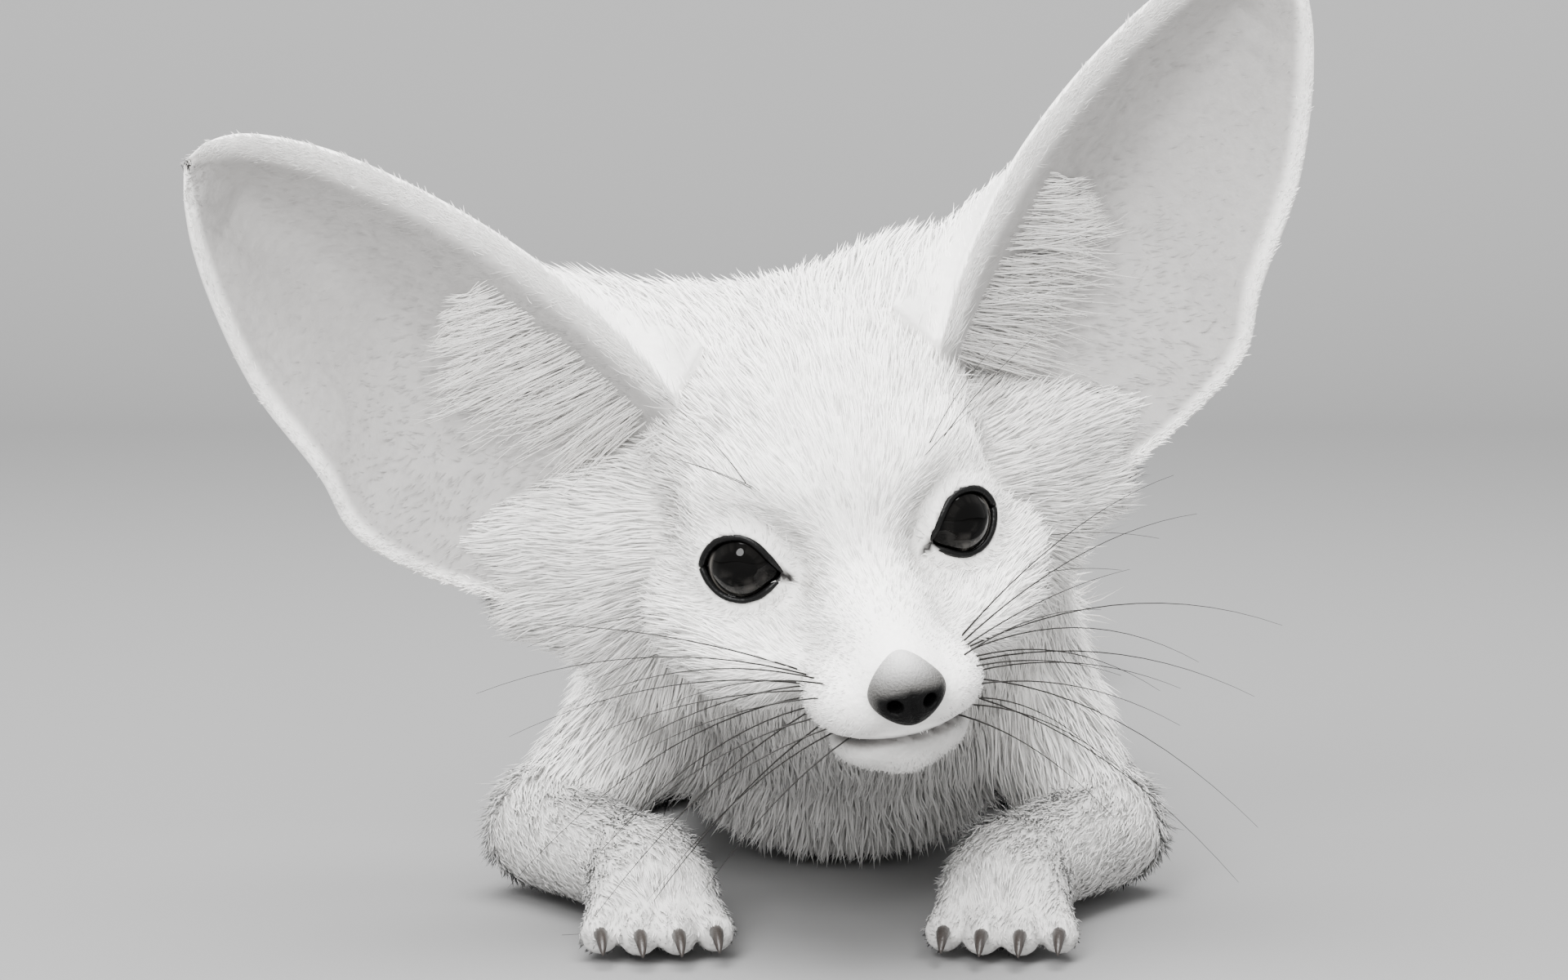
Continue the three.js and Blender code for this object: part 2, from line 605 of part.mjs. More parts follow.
// A point of the tail at a share of its radius, and the way out there; past its end the tail runs straight on.
function tailPoint(t, turn, share) {
  const on = Math.min(t, 1);
  const forward = tailCurve.getTangentAt(on);
  const centre = tailCurve.getPointAt(on).addScaledVector(forward, (t - on) * tailLength);
  const right = at(0, 0, 1).cross(forward).normalize();
  const up = forward.clone().cross(right);
  const out = right.multiplyScalar(Math.cos(turn)).addScaledVector(up, Math.sin(turn));
  return { p: centre.addScaledVector(out, tailRadius(on) * share), out };
}

function tailCore() {
  const samples = 12;
  const ring = (t) => {
    return Array.from({ length: TAIL.sides }, (_, j) => tailPoint(t, (2 * Math.PI * (j + 0.5)) / TAIL.sides, TAIL.core).p);
  };
  const rows = Array.from({ length: samples + 1 }, (_, i) => ring(lerp(0, 0.97, i / samples)));
  return rings(tailCurve.getPointAt(0), rows, tailCurve.getPointAt(0.985));
}

// Locks set in a spiral round the tail, each lying back over the next ones, out to the tips of the coat.
function tailLocks() {
  const draw = seeded(11);
  return Array.from({ length: TAIL.locks }, (_, i) => {
    const t = lerp(0.03, 0.86, i / (TAIL.locks - 1));
    const turn = i * GOLDEN_ANGLE;
    const size = tailRadius(t) / TAIL.coat;
    const length = (TAIL.lock * (1 + 0.12 * draw()) * Math.min(1, size + 0.1)) / tailLength;
    const path = LOCK_TAPER.concat(0).map((_, k) => {
      const s = k / LOCK_TAPER.length;
      const share = lerp(TAIL.core - 0.2, 1, Math.sin((s * Math.PI) / 2));
      return tailPoint(t + length * s, turn + 0.15 * s * draw(), share);
    });
    return lock(path, TAIL.coat * size * 1.1, 5);
  });
}

// The tail is made whole and parted into lengths by thin cuts.
function buildTail() {
  const whole = union([tailCore(), ...tailLocks()]);
  for (const part of TAIL_PARTS) {
    let length = whole;
    const cut = (t, way) => {
      const normal = tailCurve.getTangentAt(t).multiplyScalar(way);
      const level = normal.dot(tailCurve.getPointAt(t)) + GAP / 2;
      length = length.trimByPlane(normal.toArray(), level);
    };
    if (part.from > 0) cut(part.from, 1);
    if (part.to < 1) cut(part.to, -1);
    place(part.name, part.coat, length);
  }
}

buildHead();
placeSkin("torso", "fur", torsoField, torsoSpine, { count: 8, sides: 20, fan: 3 });
placeSkin("neck", "fur", neckField, neckSpine, neckDetail);
for (const [name, side] of Object.entries(SIDES)) {
  const made = union([buildEar(side), ...earLocks(side)]);
  place("ear_" + name, "earSkin", made, { group: headGroup });
  buildLegs(name, side);
}
buildTail();

export default fox;
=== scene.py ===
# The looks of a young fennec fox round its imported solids: one skin, a coat of solid tufts, long ear hairs,
# whiskers, glossy eyes with lids, a grained nose and claws, on a plain pale floor in soft light.
# Sizes are millimetres in the row frame: the fox faces -Y, its left is +X and +Z is up.
import math

import bpy
import numpy as np
from mathutils import Euler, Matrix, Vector, kdtree


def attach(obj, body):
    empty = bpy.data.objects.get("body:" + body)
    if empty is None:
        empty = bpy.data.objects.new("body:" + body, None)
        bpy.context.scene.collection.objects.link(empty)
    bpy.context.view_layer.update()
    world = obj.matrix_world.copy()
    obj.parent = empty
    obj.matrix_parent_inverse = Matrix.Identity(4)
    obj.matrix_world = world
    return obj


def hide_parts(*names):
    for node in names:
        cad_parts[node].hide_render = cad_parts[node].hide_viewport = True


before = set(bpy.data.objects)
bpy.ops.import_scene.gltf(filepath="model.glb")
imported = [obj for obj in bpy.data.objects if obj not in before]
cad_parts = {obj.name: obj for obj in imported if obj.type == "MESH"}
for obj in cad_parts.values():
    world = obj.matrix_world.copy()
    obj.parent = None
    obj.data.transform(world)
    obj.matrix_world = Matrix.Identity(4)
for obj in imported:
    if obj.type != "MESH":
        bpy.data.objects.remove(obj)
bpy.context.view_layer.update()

MM = 0.001
SIDES = {"left": 1, "right": -1}
rng = np.random.default_rng(7)


def at(*xyz):
    return np.array(xyz, float)


def length_of(v):
    return np.sqrt((v * v).sum(-1))


def unit(v):
    return v / np.maximum(length_of(v), 1e-9)[..., None]


def smoothstep(x, low, high):
    t = np.clip((x - low) / (high - low), 0, 1)
    return t * t * (3 - 2 * t)


def lerp(a, b, t):
    return a + (b - a) * t


def column(values):
    return np.asarray(values)[..., None]

def bell(x, middle, width):
    return np.exp(-(((x - middle) / width) ** 2))


# Head frame: its origin is midway between the eyes, x to the fox's left, y back, z up the head

HEAD = {"place": at(0, -150, 68), "nod": 12, "turn": 8, "tilt": 11}


def turn_about(axis, degrees):
    return np.array(Euler([math.radians(degrees) if a == axis else 0 for a in "xyz"]).to_matrix())


HEAD_TURN = turn_about("y", -HEAD["tilt"]) @ turn_about("z", HEAD["turn"]) @ turn_about("x", HEAD["nod"])


def to_head(p):
    return (p - HEAD["place"]) @ HEAD_TURN


def from_head(p):
    return np.asarray(p, float) @ HEAD_TURN.T + HEAD["place"]


def head_point(x, y, z):
    return from_head(at(x, y, z))


# Shapes as signed distances: negative inside, zero on the surface


def ball(centre, radii):
    centre, radii = at(*centre), at(*radii)

    def field(p):
        q = (p - centre) / radii
        near = length_of(q)
        return near * (near - 1) / np.maximum(length_of(q / radii), 1e-6)

    return field


def rod(start, end, start_radius, end_radius):
    start, end = at(*start), at(*end)
    along = end - start

    def field(p):
        t = np.clip((p - start) @ along / (along @ along), 0, 1)
        return length_of(p - start - column(t) * along) - lerp(start_radius, end_radius, t)

    return field


def paired(shape):
    return lambda p: shape(np.concatenate([np.abs(p[..., :1]), p[..., 1:]], -1))


def soft_min(d, e, softness):
    near = np.maximum(softness - np.abs(d - e), 0) / softness
    return np.minimum(d, e) - near * near * softness / 4


def blend(softness, shapes):
    def field(p):
        d = shapes[0](p)
        for shape in shapes[1:]:
            d = soft_min(d, shape(p), softness)
        return d

    return field


def hollow(shape, softness, tool):
    return lambda p: -soft_min(-shape(p), tool(p), softness)


def in_head(shape):
    return lambda p: shape(to_head(p))


def slope_of(field, p, step=0.15):
    slopes = []
    for k in range(3):
        shift = np.zeros(3)
        shift[k] = step
        slopes.append(field(p + shift) - field(p - shift))
    return np.stack(slopes, -1) / (2 * step)


# Curves


def curve_through(points, count):
    """A smooth curve through points, in even steps of its length."""
    points = np.array(points, float)
    ends = np.concatenate([[2 * points[0] - points[1]], points, [2 * points[-1] - points[-2]]])

    def between(p, q, start, end, t):
        return ((end - t) * p + (t - start) * q) / (end - start)

    fine = []
    for a, b, c, d in zip(ends, ends[1:], ends[2:], ends[3:]):
        knots = np.cumsum([0] + [length_of(q - p) ** 0.5 for p, q in ((a, b), (b, c), (c, d))])
        t = column(np.linspace(knots[1], knots[2], 24, endpoint=False))
        ab = between(a, b, knots[0], knots[1], t)
        bc = between(b, c, knots[1], knots[2], t)
        cd = between(c, d, knots[2], knots[3], t)
        abc = between(ab, bc, knots[0], knots[2], t)
        bcd = between(bc, cd, knots[1], knots[3], t)
        fine.append(between(abc, bcd, knots[1], knots[2], t))
    fine = np.concatenate([*fine, points[-1:]])
    way = np.concatenate([[0], np.cumsum(length_of(np.diff(fine, axis=0)))])
    steps = np.linspace(0, way[-1], count)
    return np.stack([np.interp(steps, way, fine[:, k]) for k in range(3)], -1)


def on_curve(curve, t):
    """The points at shares t of a curve's length."""
    steps = np.linspace(0, 1, len(curve))
    return np.stack([np.interp(t, steps, curve[:, k]) for k in range(3)], -1)


def along_curve(curve, p):
    """Each point's nearest place on a curve: its share of the length, the place and the curve's way."""
    best = np.full(len(p), 1e9)
    share = np.zeros(len(p))
    foot = np.zeros((len(p), 3))
    way = np.zeros((len(p), 3))
    for i, (a, b) in enumerate(zip(curve, curve[1:])):
        t = np.clip((p - a) @ (b - a) / ((b - a) @ (b - a)), 0, 1)
        q = a + column(t) * (b - a)
        d = length_of(p - q)
        nearer = d < best
        best[nearer] = d[nearer]
        share[nearer] = (i + t[nearer]) / (len(curve) - 1)
        foot[nearer] = q[nearer]
        way[nearer] = unit(b - a)
    return share, foot, way


# Noise: a smooth random field, from -1 to 1, over cells of a given size


def noise(p, size, seed):
    table = np.random.default_rng(seed).uniform(-1, 1, 4096)
    q = p / size
    cell = np.floor(q).astype(np.int64)
    t = q - cell
    t = t * t * (3 - 2 * t)
    total = 0
    for corner in range(8):
        bits = np.array([corner & 1, corner >> 1 & 1, corner >> 2 & 1])
        c = cell + bits
        code = (c[..., 0] * 73856093 ^ c[..., 1] * 19349663 ^ c[..., 2] * 83492791) & 4095
        weight = np.where(bits, t, 1 - t).prod(-1)
        total = total + weight * table[code]
    return total


def noise_vector(p, size, seed):
    return np.stack([noise(p, size, seed + k) for k in range(3)], -1)


# The body's parts, on the same sizes as the solids

EYE = {
    "centre": at(16.3, 7.3, 0), "ball": 8, "outward": 24, "wide": 13.4, "high": 10.8, "slant": 6, "lid": 0.7,
}
NOSE = {"middle": at(0, -29.5, -15.2), "wide": 12.4, "deep": 10, "high": 11}
MOUTH = [at(0, -40, -24), at(0, -26, -25.2), at(0, -11, -24)]
TORSO = {"wide": 90, "high": 86}
LEG_SHIFT = -4

skull = blend(
    9,
    [
        ball((0, 29, 9), (30, 30, 28)),
        ball((0, 9, 3), (20, 16, 17)),
        paired(ball((13.5, 8, 8), (10, 9, 6.5))),
        paired(ball((18, 15, -10), (16, 18, 14))),
        paired(ball((15, 4, -16), (12, 13, 8))),
        rod((-17, 42, 23.5), (17, 42, 23.5), 15, 15),
        paired(ball((30, 38, -6), (14, 14, 18))),
    ],
)
muzzle = blend(
    5,
    [
        rod((0, 4, -8), (0, -23.5, -14.8), 13, 7.2),
        paired(ball((6.3, -17.5, -18), (7.2, 10.5, 6.2))),
        rod((0, 10, -20), (0, -18.5, -26), 12, 6),
    ],
)
eye_dips = paired(ball((20.5, -2.5, 0), (9.5, 6, 6.5)))
head_shape = hollow(blend(7, [skull, muzzle]), 9, eye_dips)

neck_shape = blend(
    12,
    [
        rod((0, -62, 50), head_point(0, 42, -2), 35, 33),
        rod((0, -64, 42), head_point(0, 28, -24), 31, 18),
        rod(head_point(27, 47, -20), (24, -70, 52), 18, 18),
        rod(head_point(-27, 47, -20), (-24, -70, 52), 18, 18),
    ],
)
torso_shape = blend(
    22,
    [
        ball((0, -52, 42), (TORSO["wide"] * 0.43, 36, TORSO["high"] * 0.47)),
        ball((0, -20, 40), (TORSO["wide"] * 0.47, 48, TORSO["high"] * 0.49)),
        ball((0, 22, 41), (TORSO["wide"] * 0.43, 48, TORSO["high"] * 0.5)),
        ball((0, 56, 39), (TORSO["wide"] * 0.47, 33, TORSO["high"] * 0.47)),
    ],
)

TAIL = {"root": 13, "coat": 22, "core": 0.42, "dark": 0.72}
TAIL_CURVE = curve_through(
    [(0, 74, 34), (2, 104, 24), (12, 142, 20), (27, 180, 20), (38, 216, 20), (36, 250, 17), (28, 276, 12)],
    25,
)


def tail_radius(t):
    """The tail's radius out to the tips of its coat."""
    full = lerp(TAIL["root"], TAIL["coat"], np.sin(np.minimum(1, t / 0.5) * math.pi / 2))
    return full * np.sqrt(np.maximum(0.02, 1 - np.clip((t - 0.6) / 0.4, 0, 1) ** 2.2))


def tail_shape(p):
    share, foot, _ = along_curve(TAIL_CURVE, p.reshape(-1, 3))
    d = length_of(p.reshape(-1, 3) - foot) - tail_radius(share) * TAIL["core"]
    return d.reshape(p.shape[:-1])


def ear_root_shape(side):
    body = rod((side * 28, 41, -1), (side * 56, 45, 1), 17, 5)
    behind = rod((side * 12, 44, 27), (side * 39, 43, 42), 9, 4.5)
    below = rod((side * 37, 44, -13), (side * 48, 45, -11), 13.5, 8.5)
    return in_head(blend(8, [body, behind, below]))


def paw_shape(heel, turn, scale):
    turned = turn_about("z", turn)

    def p(x, y, z):
        return at(*heel) + turned @ (at(x, y, z) * scale)

    shapes = [ball(p(0, 2, 7.6), at(11.5, 12, 8.8) * scale)]
    claws = []
    for i in range(4):
        x = (i - 1.5) * 5.6
        y = -17 + abs(x) * 0.42
        shapes.append(rod(p(x * 0.784, -4, 7.4), p(x * 1.12, y + 1, 4.4), 5.2 * scale, 4.5 * scale))
        claws.append((p(x * 1.12, y + 1, 4.4), 4.5 * scale))
    return blend(1.6, shapes), [p(0, 6, 7.4), p(0, -16, 5.4)], claws


# How the coat lies and looks on each part. Depth is from the skin out to the solids' surface.


def towards(way):
    return lambda p: np.broadcast_to(unit(at(*way)), p.shape)


def along(start, end):
    return towards(at(*end) - at(*start))


def head_lie(p):
    """Back from the nose, over the brow and the cheeks, and down behind the jaw."""
    q = to_head(p)
    way = unit(q - at(0, -30, -13))
    way = way + at(0, 0.25, 0)
    low = smoothstep(-q[..., 2], 4, 22) * smoothstep(q[..., 1], -10, 20)
    way[..., 2] -= 0.5 * low
    return unit(way) @ HEAD_TURN.T


def head_depth(p):
    q = to_head(p)
    back = smoothstep(q[..., 1], -14, 34)
    return 0.7 + 3.0 * back


def head_length(p):
    q = to_head(p)
    back = smoothstep(q[..., 1], -26, 22)
    side = smoothstep(np.abs(q[..., 0]), 20, 34) * smoothstep(-q[..., 2], -8, 14)
    return 1.6 + 4.6 * back + 3 * side


def head_density(p):
    return lerp(3.1, 2.0, smoothstep(to_head(p)[..., 1], -5, 40))


def head_width(p):
    return lerp(0.19, 0.3, smoothstep(to_head(p)[..., 1], -20, 35))


def tail_length(p):
    return 46 * tail_radius(along_curve(TAIL_CURVE, p)[0]) / TAIL["coat"]

# The tufts of each part: length, width, how many on a square mm, lift in degrees, and clumping
COAT_KEYS = ("length", "width", "density", "lift", "clump")
COATS = {
    "head": (head_length, head_width, head_density, 15, 0.25),
    "neck": (10, 0.35, 1.28, 15, 0.35),
    "torso": (12, 0.46, 0.72, 15, 0.4),
    "tail": (tail_length, 1.0, 0.42, 17, 0.5),
    "ear_root": (7, 0.28, 2.4, 11, 0.3),
    "upper_foreleg": (9, 0.38, 1.0, 14, 0.35),
    "forearm": (5.5, 0.34, 1.5, 13, 0.3),
    "forepaw": (3.2, 0.29, 2.1, 13, 0.25),
    "thigh": (11, 0.46, 0.72, 15, 0.4),
    "lower_hind_leg": (7, 0.42, 0.85, 14, 0.35),
    "hind_paw": (4, 0.42, 1.1, 15, 0.3),
}
PARTS = []
PAWS = []

def part(name, shape, spine, lie, depth):
    coat = dict(zip(COAT_KEYS, COATS[name]))
    spine = np.array(spine, float)
    PARTS.append({"name": name, "shape": shape, "spine": spine, "lie": lie, "depth": depth, **coat})

def add_paw(name, side_name, heel, turn, scale):
    shape, spine, toes = paw_shape(heel, turn, scale)
    PAWS.append((name + "_" + side_name, toes, turn))
    part(name, shape, spine, along(*spine), 1.3)

def mirrored(side, shift=0):
    """Carries places of the fox's left side to the given side."""
    return lambda x, y, z: (side * x + shift, y, z)

part("head", in_head(head_shape), from_head([(0, 45, 4), (0, 10, -4), (0, -32, -17)]), head_lie, head_depth)
part("neck", neck_shape, [head_point(0, 34, -8), (0, -60, 47)], towards((0, 0.55, -0.8)), 4)
part("torso", torso_shape, [(0, -58, 42), (0, 62, 40)], towards((0, 1, -0.25)), 4.5)
part("tail", tail_shape, TAIL_CURVE, lambda p: along_curve(TAIL_CURVE, p)[2], 0)
for side_name, side in SIDES.items():
    p = mirrored(side, LEG_SHIFT)
    q = mirrored(side)
    part(
        "ear_root", ear_root_shape(side), from_head([(side * 25, 41, -2), (side * 62, 43, 2)]),
        towards(unit(at(side * 0.9, 0.35, 0.02)) @ HEAD_TURN.T), 1.6,
    )
    upper = blend(8, [rod(q(29, -62, 40), p(47, -83, 15), 15, 11.5), ball(q(31, -58, 33), (13, 16, 20))])
    part("upper_foreleg", upper, [q(29, -50, 45), p(47, -83, 15)], along(q(29, -50, 50), p(50, -87, 5)), 3)
    elbow, wrist, palm = p(50, -87, 11.5), p(31, -122, 10.5), p(29, -132, 9)
    fore = blend(5, [rod(elbow, wrist, 11.5, 9.5), rod(wrist, palm, 9.5, 9)])
    part("forearm", fore, [elbow, palm], along(elbow, p(29, -140, 6)), 1.8)
    add_paw("forepaw", side_name, p(29.5, -133, 0), -side * 6, 1)
    thigh = blend(10, [ball(q(36, 42, 28), (17, 37, 26)), rod(q(41, 62, 20), q(44, 20, 17), 14, 13)])
    part("thigh", thigh, [q(38, 66, 36), q(42, 16, 20)], towards((0, 0.6, -0.8)), 3.8)
    shank = blend(4, [rod(q(45, 14, 13), q(43, 80, 13), 10, 9), rod(q(50, 82, 8), q(50, 20, 7.5), 8, 7.5)])
    part("lower_hind_leg", shank, [q(47, 84, 10), q(48, 14, 10)], towards((0, -1, 0)), 2.5)
    add_paw("hind_paw", side_name, q(50, 8, 0), -side * 3, 0.92)

def of_points(value, p):
    return value(p) if callable(value) else np.full(p.shape[:-1], float(value))


# Eyes and their almond-shaped openings

LID_DARK = 0.95


def eye_axes(side):
    out = math.radians(EYE["outward"])
    gaze = at(side * math.sin(out), -math.cos(out), 0)
    lateral = at(side * math.cos(out), math.sin(out), 0)
    slant = math.radians(EYE["slant"])
    up = at(0, 0, 1)
    across = lateral * math.cos(slant) + up * math.sin(slant)
    upward = up * math.cos(slant) - lateral * math.sin(slant)
    centre = EYE["centre"] * at(side, 1, 1)
    return centre, gaze, across, upward


def almond(count):
    """The outline of the lids' opening from the inner corner over the top: across, outwards, and up."""
    half, high = EYE["wide"] / 2, EYE["high"] / 2
    corners = [(-half, -1), (0, high), (half, 0), (0, -high), (-half, -1)]
    pulls = [(-half * 0.55, high), (half * 0.75, high), (half * 0.7, -high), (-half * 0.5, -high)]
    t = column(np.linspace(0, 1, count // 4, endpoint=False))
    arcs = []
    for a, b, pull in zip(corners, corners[1:], pulls):
        arcs.append((1 - t) ** 2 * at(*a) + 2 * t * (1 - t) * at(*pull) + t * t * at(*b))
    return np.concatenate(arcs)


def from_outline(outline, a, b):
    """The signed distance of points from a closed outline."""
    best = np.full(a.shape, 1e9)
    inside = np.zeros(a.shape, bool)
    for (x0, y0), (x1, y1) in zip(outline, np.roll(outline, -1, 0)):
        dx, dy = x1 - x0, y1 - y0
        t = np.clip(((a - x0) * dx + (b - y0) * dy) / (dx * dx + dy * dy), 0, 1)
        best = np.minimum(best, np.hypot(a - x0 - t * dx, b - y0 - t * dy))
        crossed = (y0 > b) != (y1 > b)
        inside ^= crossed & (a < x0 + (b - y0) * dx / (dy if dy else 1e-9))
    return np.where(inside, -best, best)


def corner_distance(p, side):
    """The distance of head-frame points from the narrow dark inner corner beside the opening."""
    centre, gaze, across, upward = eye_axes(side)
    q = p - centre
    start, end = at(-EYE["wide"] / 2, -1), at(-EYE["wide"] / 2 - 1.5, -2.2)
    ab = np.stack([q @ across, q @ upward], -1) - start
    t = np.clip(ab @ (end - start) / ((end - start) @ (end - start)), 0, 1)
    far = np.where((length_of(q) < 16) & (q @ gaze > 0), 0, 20)
    return length_of(ab - column(t) * (end - start)) - lerp(0.35, 0.12, t) + far


def opening_distance(p, side):
    """The distance of head-frame points from the sides of the lids' opening; far away behind the eye."""
    centre, gaze, across, upward = eye_axes(side)
    q = p - centre
    d = np.full(p.shape[:-1], 20.0)
    near = (length_of(q) < 16) & (q @ gaze > 0)
    d[near] = from_outline(almond(32), q[near] @ across, q[near] @ upward)
    return d


def eyelash_room(p):
    """How far head-frame points are from the nearest edge or inner corner of the lids."""
    return np.min([f(p, side) for f in (opening_distance, corner_distance) for side in SIDES.values()], 0)


def mouth_level(p):
    return np.interp(p[..., 1], [m[1] for m in MOUTH], [m[2] for m in MOUTH])


def mouth_distance(p):
    """Half-thickness distance from the line that parts the lips, out to its corners."""
    corner = smoothstep(p[..., 1], -13, -9) * 3
    return np.abs(p[..., 2] - mouth_level(p)) + corner


# Nose pad: rounded, narrower below, with comma-shaped nostrils and a groove down the middle


def nose_shape(p):
    middle = NOSE["middle"]
    half = at(NOSE["wide"], NOSE["deep"], NOSE["high"]) / 2
    low = np.maximum(0, middle[2] - p[..., 2:])
    high = np.maximum(0, p[..., 2:] - middle[2])
    q = np.concatenate([p[..., :1] * (1 + 0.011 * low ** 2 + 0.014 * high ** 2), p[..., 1:]], -1)
    return blend(2, [ball(middle, half), ball(middle + at(0, 3, 2.4), (4.2, 5.5, 3.4))])(q)


def nose_with_nostrils(p):
    front = NOSE["middle"] + at(2.9, -NOSE["deep"] / 2, -1.2)
    hole = rod(front, front + at(-0.4, 4, 0.6), 1.3, 1.0)
    slit = rod(front, front + at(3.2, 2.2, -1.4), 0.75, 0.4)
    top = NOSE["middle"] + at(0, -NOSE["deep"] / 2 - 0.4, 0.8)
    crease = rod(top, top + at(0, 2, -6.4), 0.35, 0.55)
    return hollow(nose_shape, 0.7, blend(0.8, [paired(blend(0.6, [hole, slit])), crease]))(p)


# The skin: one surface over all parts, inside the solids by the depth of the coat

SKIN_BLEND = 6
FLOOR = 0.8
MOUTH_GAP = 0.3
MOUTH_DEPTH = 1.0
upper_lips = paired(ball((7.4, -16.2, -18.8), (6.4, 9.6, 5.2)))
lip_pads = paired(ball((4.4, -14.6, -26.8), (6.6, 9.2, 4)))
lower_lips = blend(3, [lip_pads, rod((0, 0, -23), (0, -17.5, -26.8), 11, 5.6)])


def head_skin(p):
    q = to_head(p)
    d = head_shape(q) + head_depth(p)
    d = soft_min(d, upper_lips(q), 3)
    d = soft_min(d, lower_lips(q), 1.6)
    for side in SIDES.values():
        centre = eye_axes(side)[0]
        lid = length_of(q - centre) - EYE["ball"] - EYE["lid"]
        d = soft_min(d, lid, 4)
        d = -soft_min(-d, opening_distance(q, side), 0.5)
    groove = np.maximum(mouth_distance(q) - MOUTH_GAP, -d - MOUTH_DEPTH)
    return -soft_min(-d, groove, 0.8)


def skin_field(part):
    if part["name"] == "head":
        return head_skin
    return lambda p: part["shape"](p) + of_points(part["depth"], p)


def skin_shape(p):
    d = np.full(p.shape[:-1], 30.0)
    for one in PARTS:
        d = soft_min(d, skin_field(one)(p), SKIN_BLEND)
    return np.maximum(d, FLOOR - p[..., 2])


def axis_points(low, high, steps):
    """Grid lines from low to high; steps are (start, spacing) in order, each up to the next start."""
    lines = []
    starts = [max(s, low) for s, _ in steps] + [high]
    for (_, spacing), start, end in zip(steps, starts, starts[1:]):
        if end > start:
            lines.append(np.linspace(start, end, max(2, round((end - start) / spacing)), endpoint=False))
    return np.concatenate([*lines, [high]])


GRID = [
    axis_points(-66, 66, [(-66, 2), (-46, 1.3), (-30, 0.8), (30, 1.3), (46, 2)]),
    axis_points(-184, 292, [(-184, 0.8), (-130, 1.3), (-96, 2.2)]),
    axis_points(-1, 116, [(-1, 1.6), (36, 0.8), (92, 1.5)]),
]


def fill_grid(axes):
    """The skin's distance at every grid point; each part is worked out only near itself."""
    values = np.full([len(a) for a in axes], 30.0)
    coarse = [a[:: max(1, len(a) // 40)] for a in axes]
    for one in PARTS:
        field = skin_field(one)
        look = np.stack(np.meshgrid(*coarse, indexing="ij"), -1)
        near = np.argwhere(one["shape"](look) < 14)
        spans = []
        for k in range(3):
            ends = np.clip([near[:, k].min() - 1, near[:, k].max() + 1], 0, len(coarse[k]) - 1)
            start, stop = np.searchsorted(axes[k], coarse[k][ends])
            spans.append(slice(start, stop + 1))
        for i in range(spans[0].start, spans[0].stop, 12):
            block = (slice(i, min(i + 12, spans[0].stop)), spans[1], spans[2])
            p = np.stack(np.meshgrid(*[a[b] for a, b in zip(axes, block)], indexing="ij"), -1)
            values[block] = soft_min(values[block], field(p), SKIN_BLEND)
    return np.maximum(values, FLOOR - axes[2])


def surface_of(values, axes):
    """Points and four-sided faces of the zero surface of a grid of distances."""
    inside = values < 0
    cells = np.array(values.shape) - 1
    total = np.zeros((cells.prod(), 3))
    count = np.zeros(cells.prod())
    quads = []
    for axis in range(3):
        low = [slice(None)] * 3
        high = [slice(None)] * 3
        low[axis], high[axis] = slice(0, -1), slice(1, None)
        low, high = tuple(low), tuple(high)
        where = np.argwhere(inside[low] != inside[high])
        first, second = values[low][tuple(where.T)], values[high][tuple(where.T)]
        share = first / (first - second)
        point = np.stack([axes[k][where[:, k]] for k in range(3)], -1)
        step = axes[axis][where[:, axis] + 1] - axes[axis][where[:, axis]]
        point[:, axis] += share * step
        b, c = (axis + 1) % 3, (axis + 2) % 3
        around = []
        for db, dc in ((-1, -1), (0, -1), (0, 0), (-1, 0)):
            cell = where.copy()
            cell[:, b] += db
            cell[:, c] += dc
            around.append(np.ravel_multi_index(np.clip(cell, 0, cells - 1).T, cells))
        for index in around:
            count += np.bincount(index, minlength=len(count))
            for k in range(3):
                total[:, k] += np.bincount(index, point[:, k], minlength=len(count))
        quad = np.stack(around, -1)
        flip = first > 0
        quad[flip] = quad[flip][:, ::-1]
        quads.append(quad)
    used = count > 0
    number = np.cumsum(used) - 1
    return total[used] / count[used][:, None], number[np.concatenate(quads)]


def settle(field, p, rounds=3):
    """Moves points onto the zero surface of a field."""
    for _ in range(rounds):
        slope = slope_of(field, p)
        steep = np.maximum((slope * slope).sum(-1), 0.2)
        p = p - np.clip(field(p) / steep, -0.6, 0.6)[:, None] * slope
    return p


# Meshes


def make_mesh(name, points, faces, material, uv=None, tones=None, normals=None):
    """An object from points in mm and faces, as an array or as a list of the corners of each."""
    mesh = bpy.data.meshes.new(name)
    mesh.vertices.add(len(points))
    mesh.vertices.foreach_set("co", (np.asarray(points) * MM).astype(np.float32).ravel())
    listed = isinstance(faces, list)
    sizes = np.array([len(f) for f in faces]) if listed else np.full(len(faces), faces.shape[1])
    corners = np.concatenate(faces) if listed else faces.ravel()
    mesh.loops.add(len(corners))
    mesh.loops.foreach_set("vertex_index", corners.astype(np.int32))
    mesh.polygons.add(len(sizes))
    mesh.polygons.foreach_set("loop_start", np.concatenate([[0], np.cumsum(sizes)[:-1]]).astype(np.int32))
    mesh.polygons.foreach_set("use_smooth", np.full(len(sizes), True))
    if uv is not None:
        layer = mesh.uv_layers.new(name="OFBake")
        layer.data.foreach_set("uv", uv[corners].astype(np.float32).ravel())
    if tones is not None:
        attribute = mesh.attributes.new("tone", "FLOAT_COLOR", "POINT")
        colors = np.concatenate([tones, np.ones((len(tones), 1))], -1)
        attribute.data.foreach_set("color", colors.astype(np.float32).ravel())
    mesh.update(calc_edges=True)
    mesh.validate()
    if normals is not None:
        mesh.normals_split_custom_set_from_vertices(normals)
    made = bpy.data.objects.new(name, mesh)
    bpy.context.scene.collection.objects.link(made)
    mesh.materials.append(material)
    return made

def show(made, slot, *nodes):
    """Shows a piece on the body, in place of the named solids, if any; its slot is not used."""
    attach(made, "root")
    if nodes:
        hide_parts(*nodes)

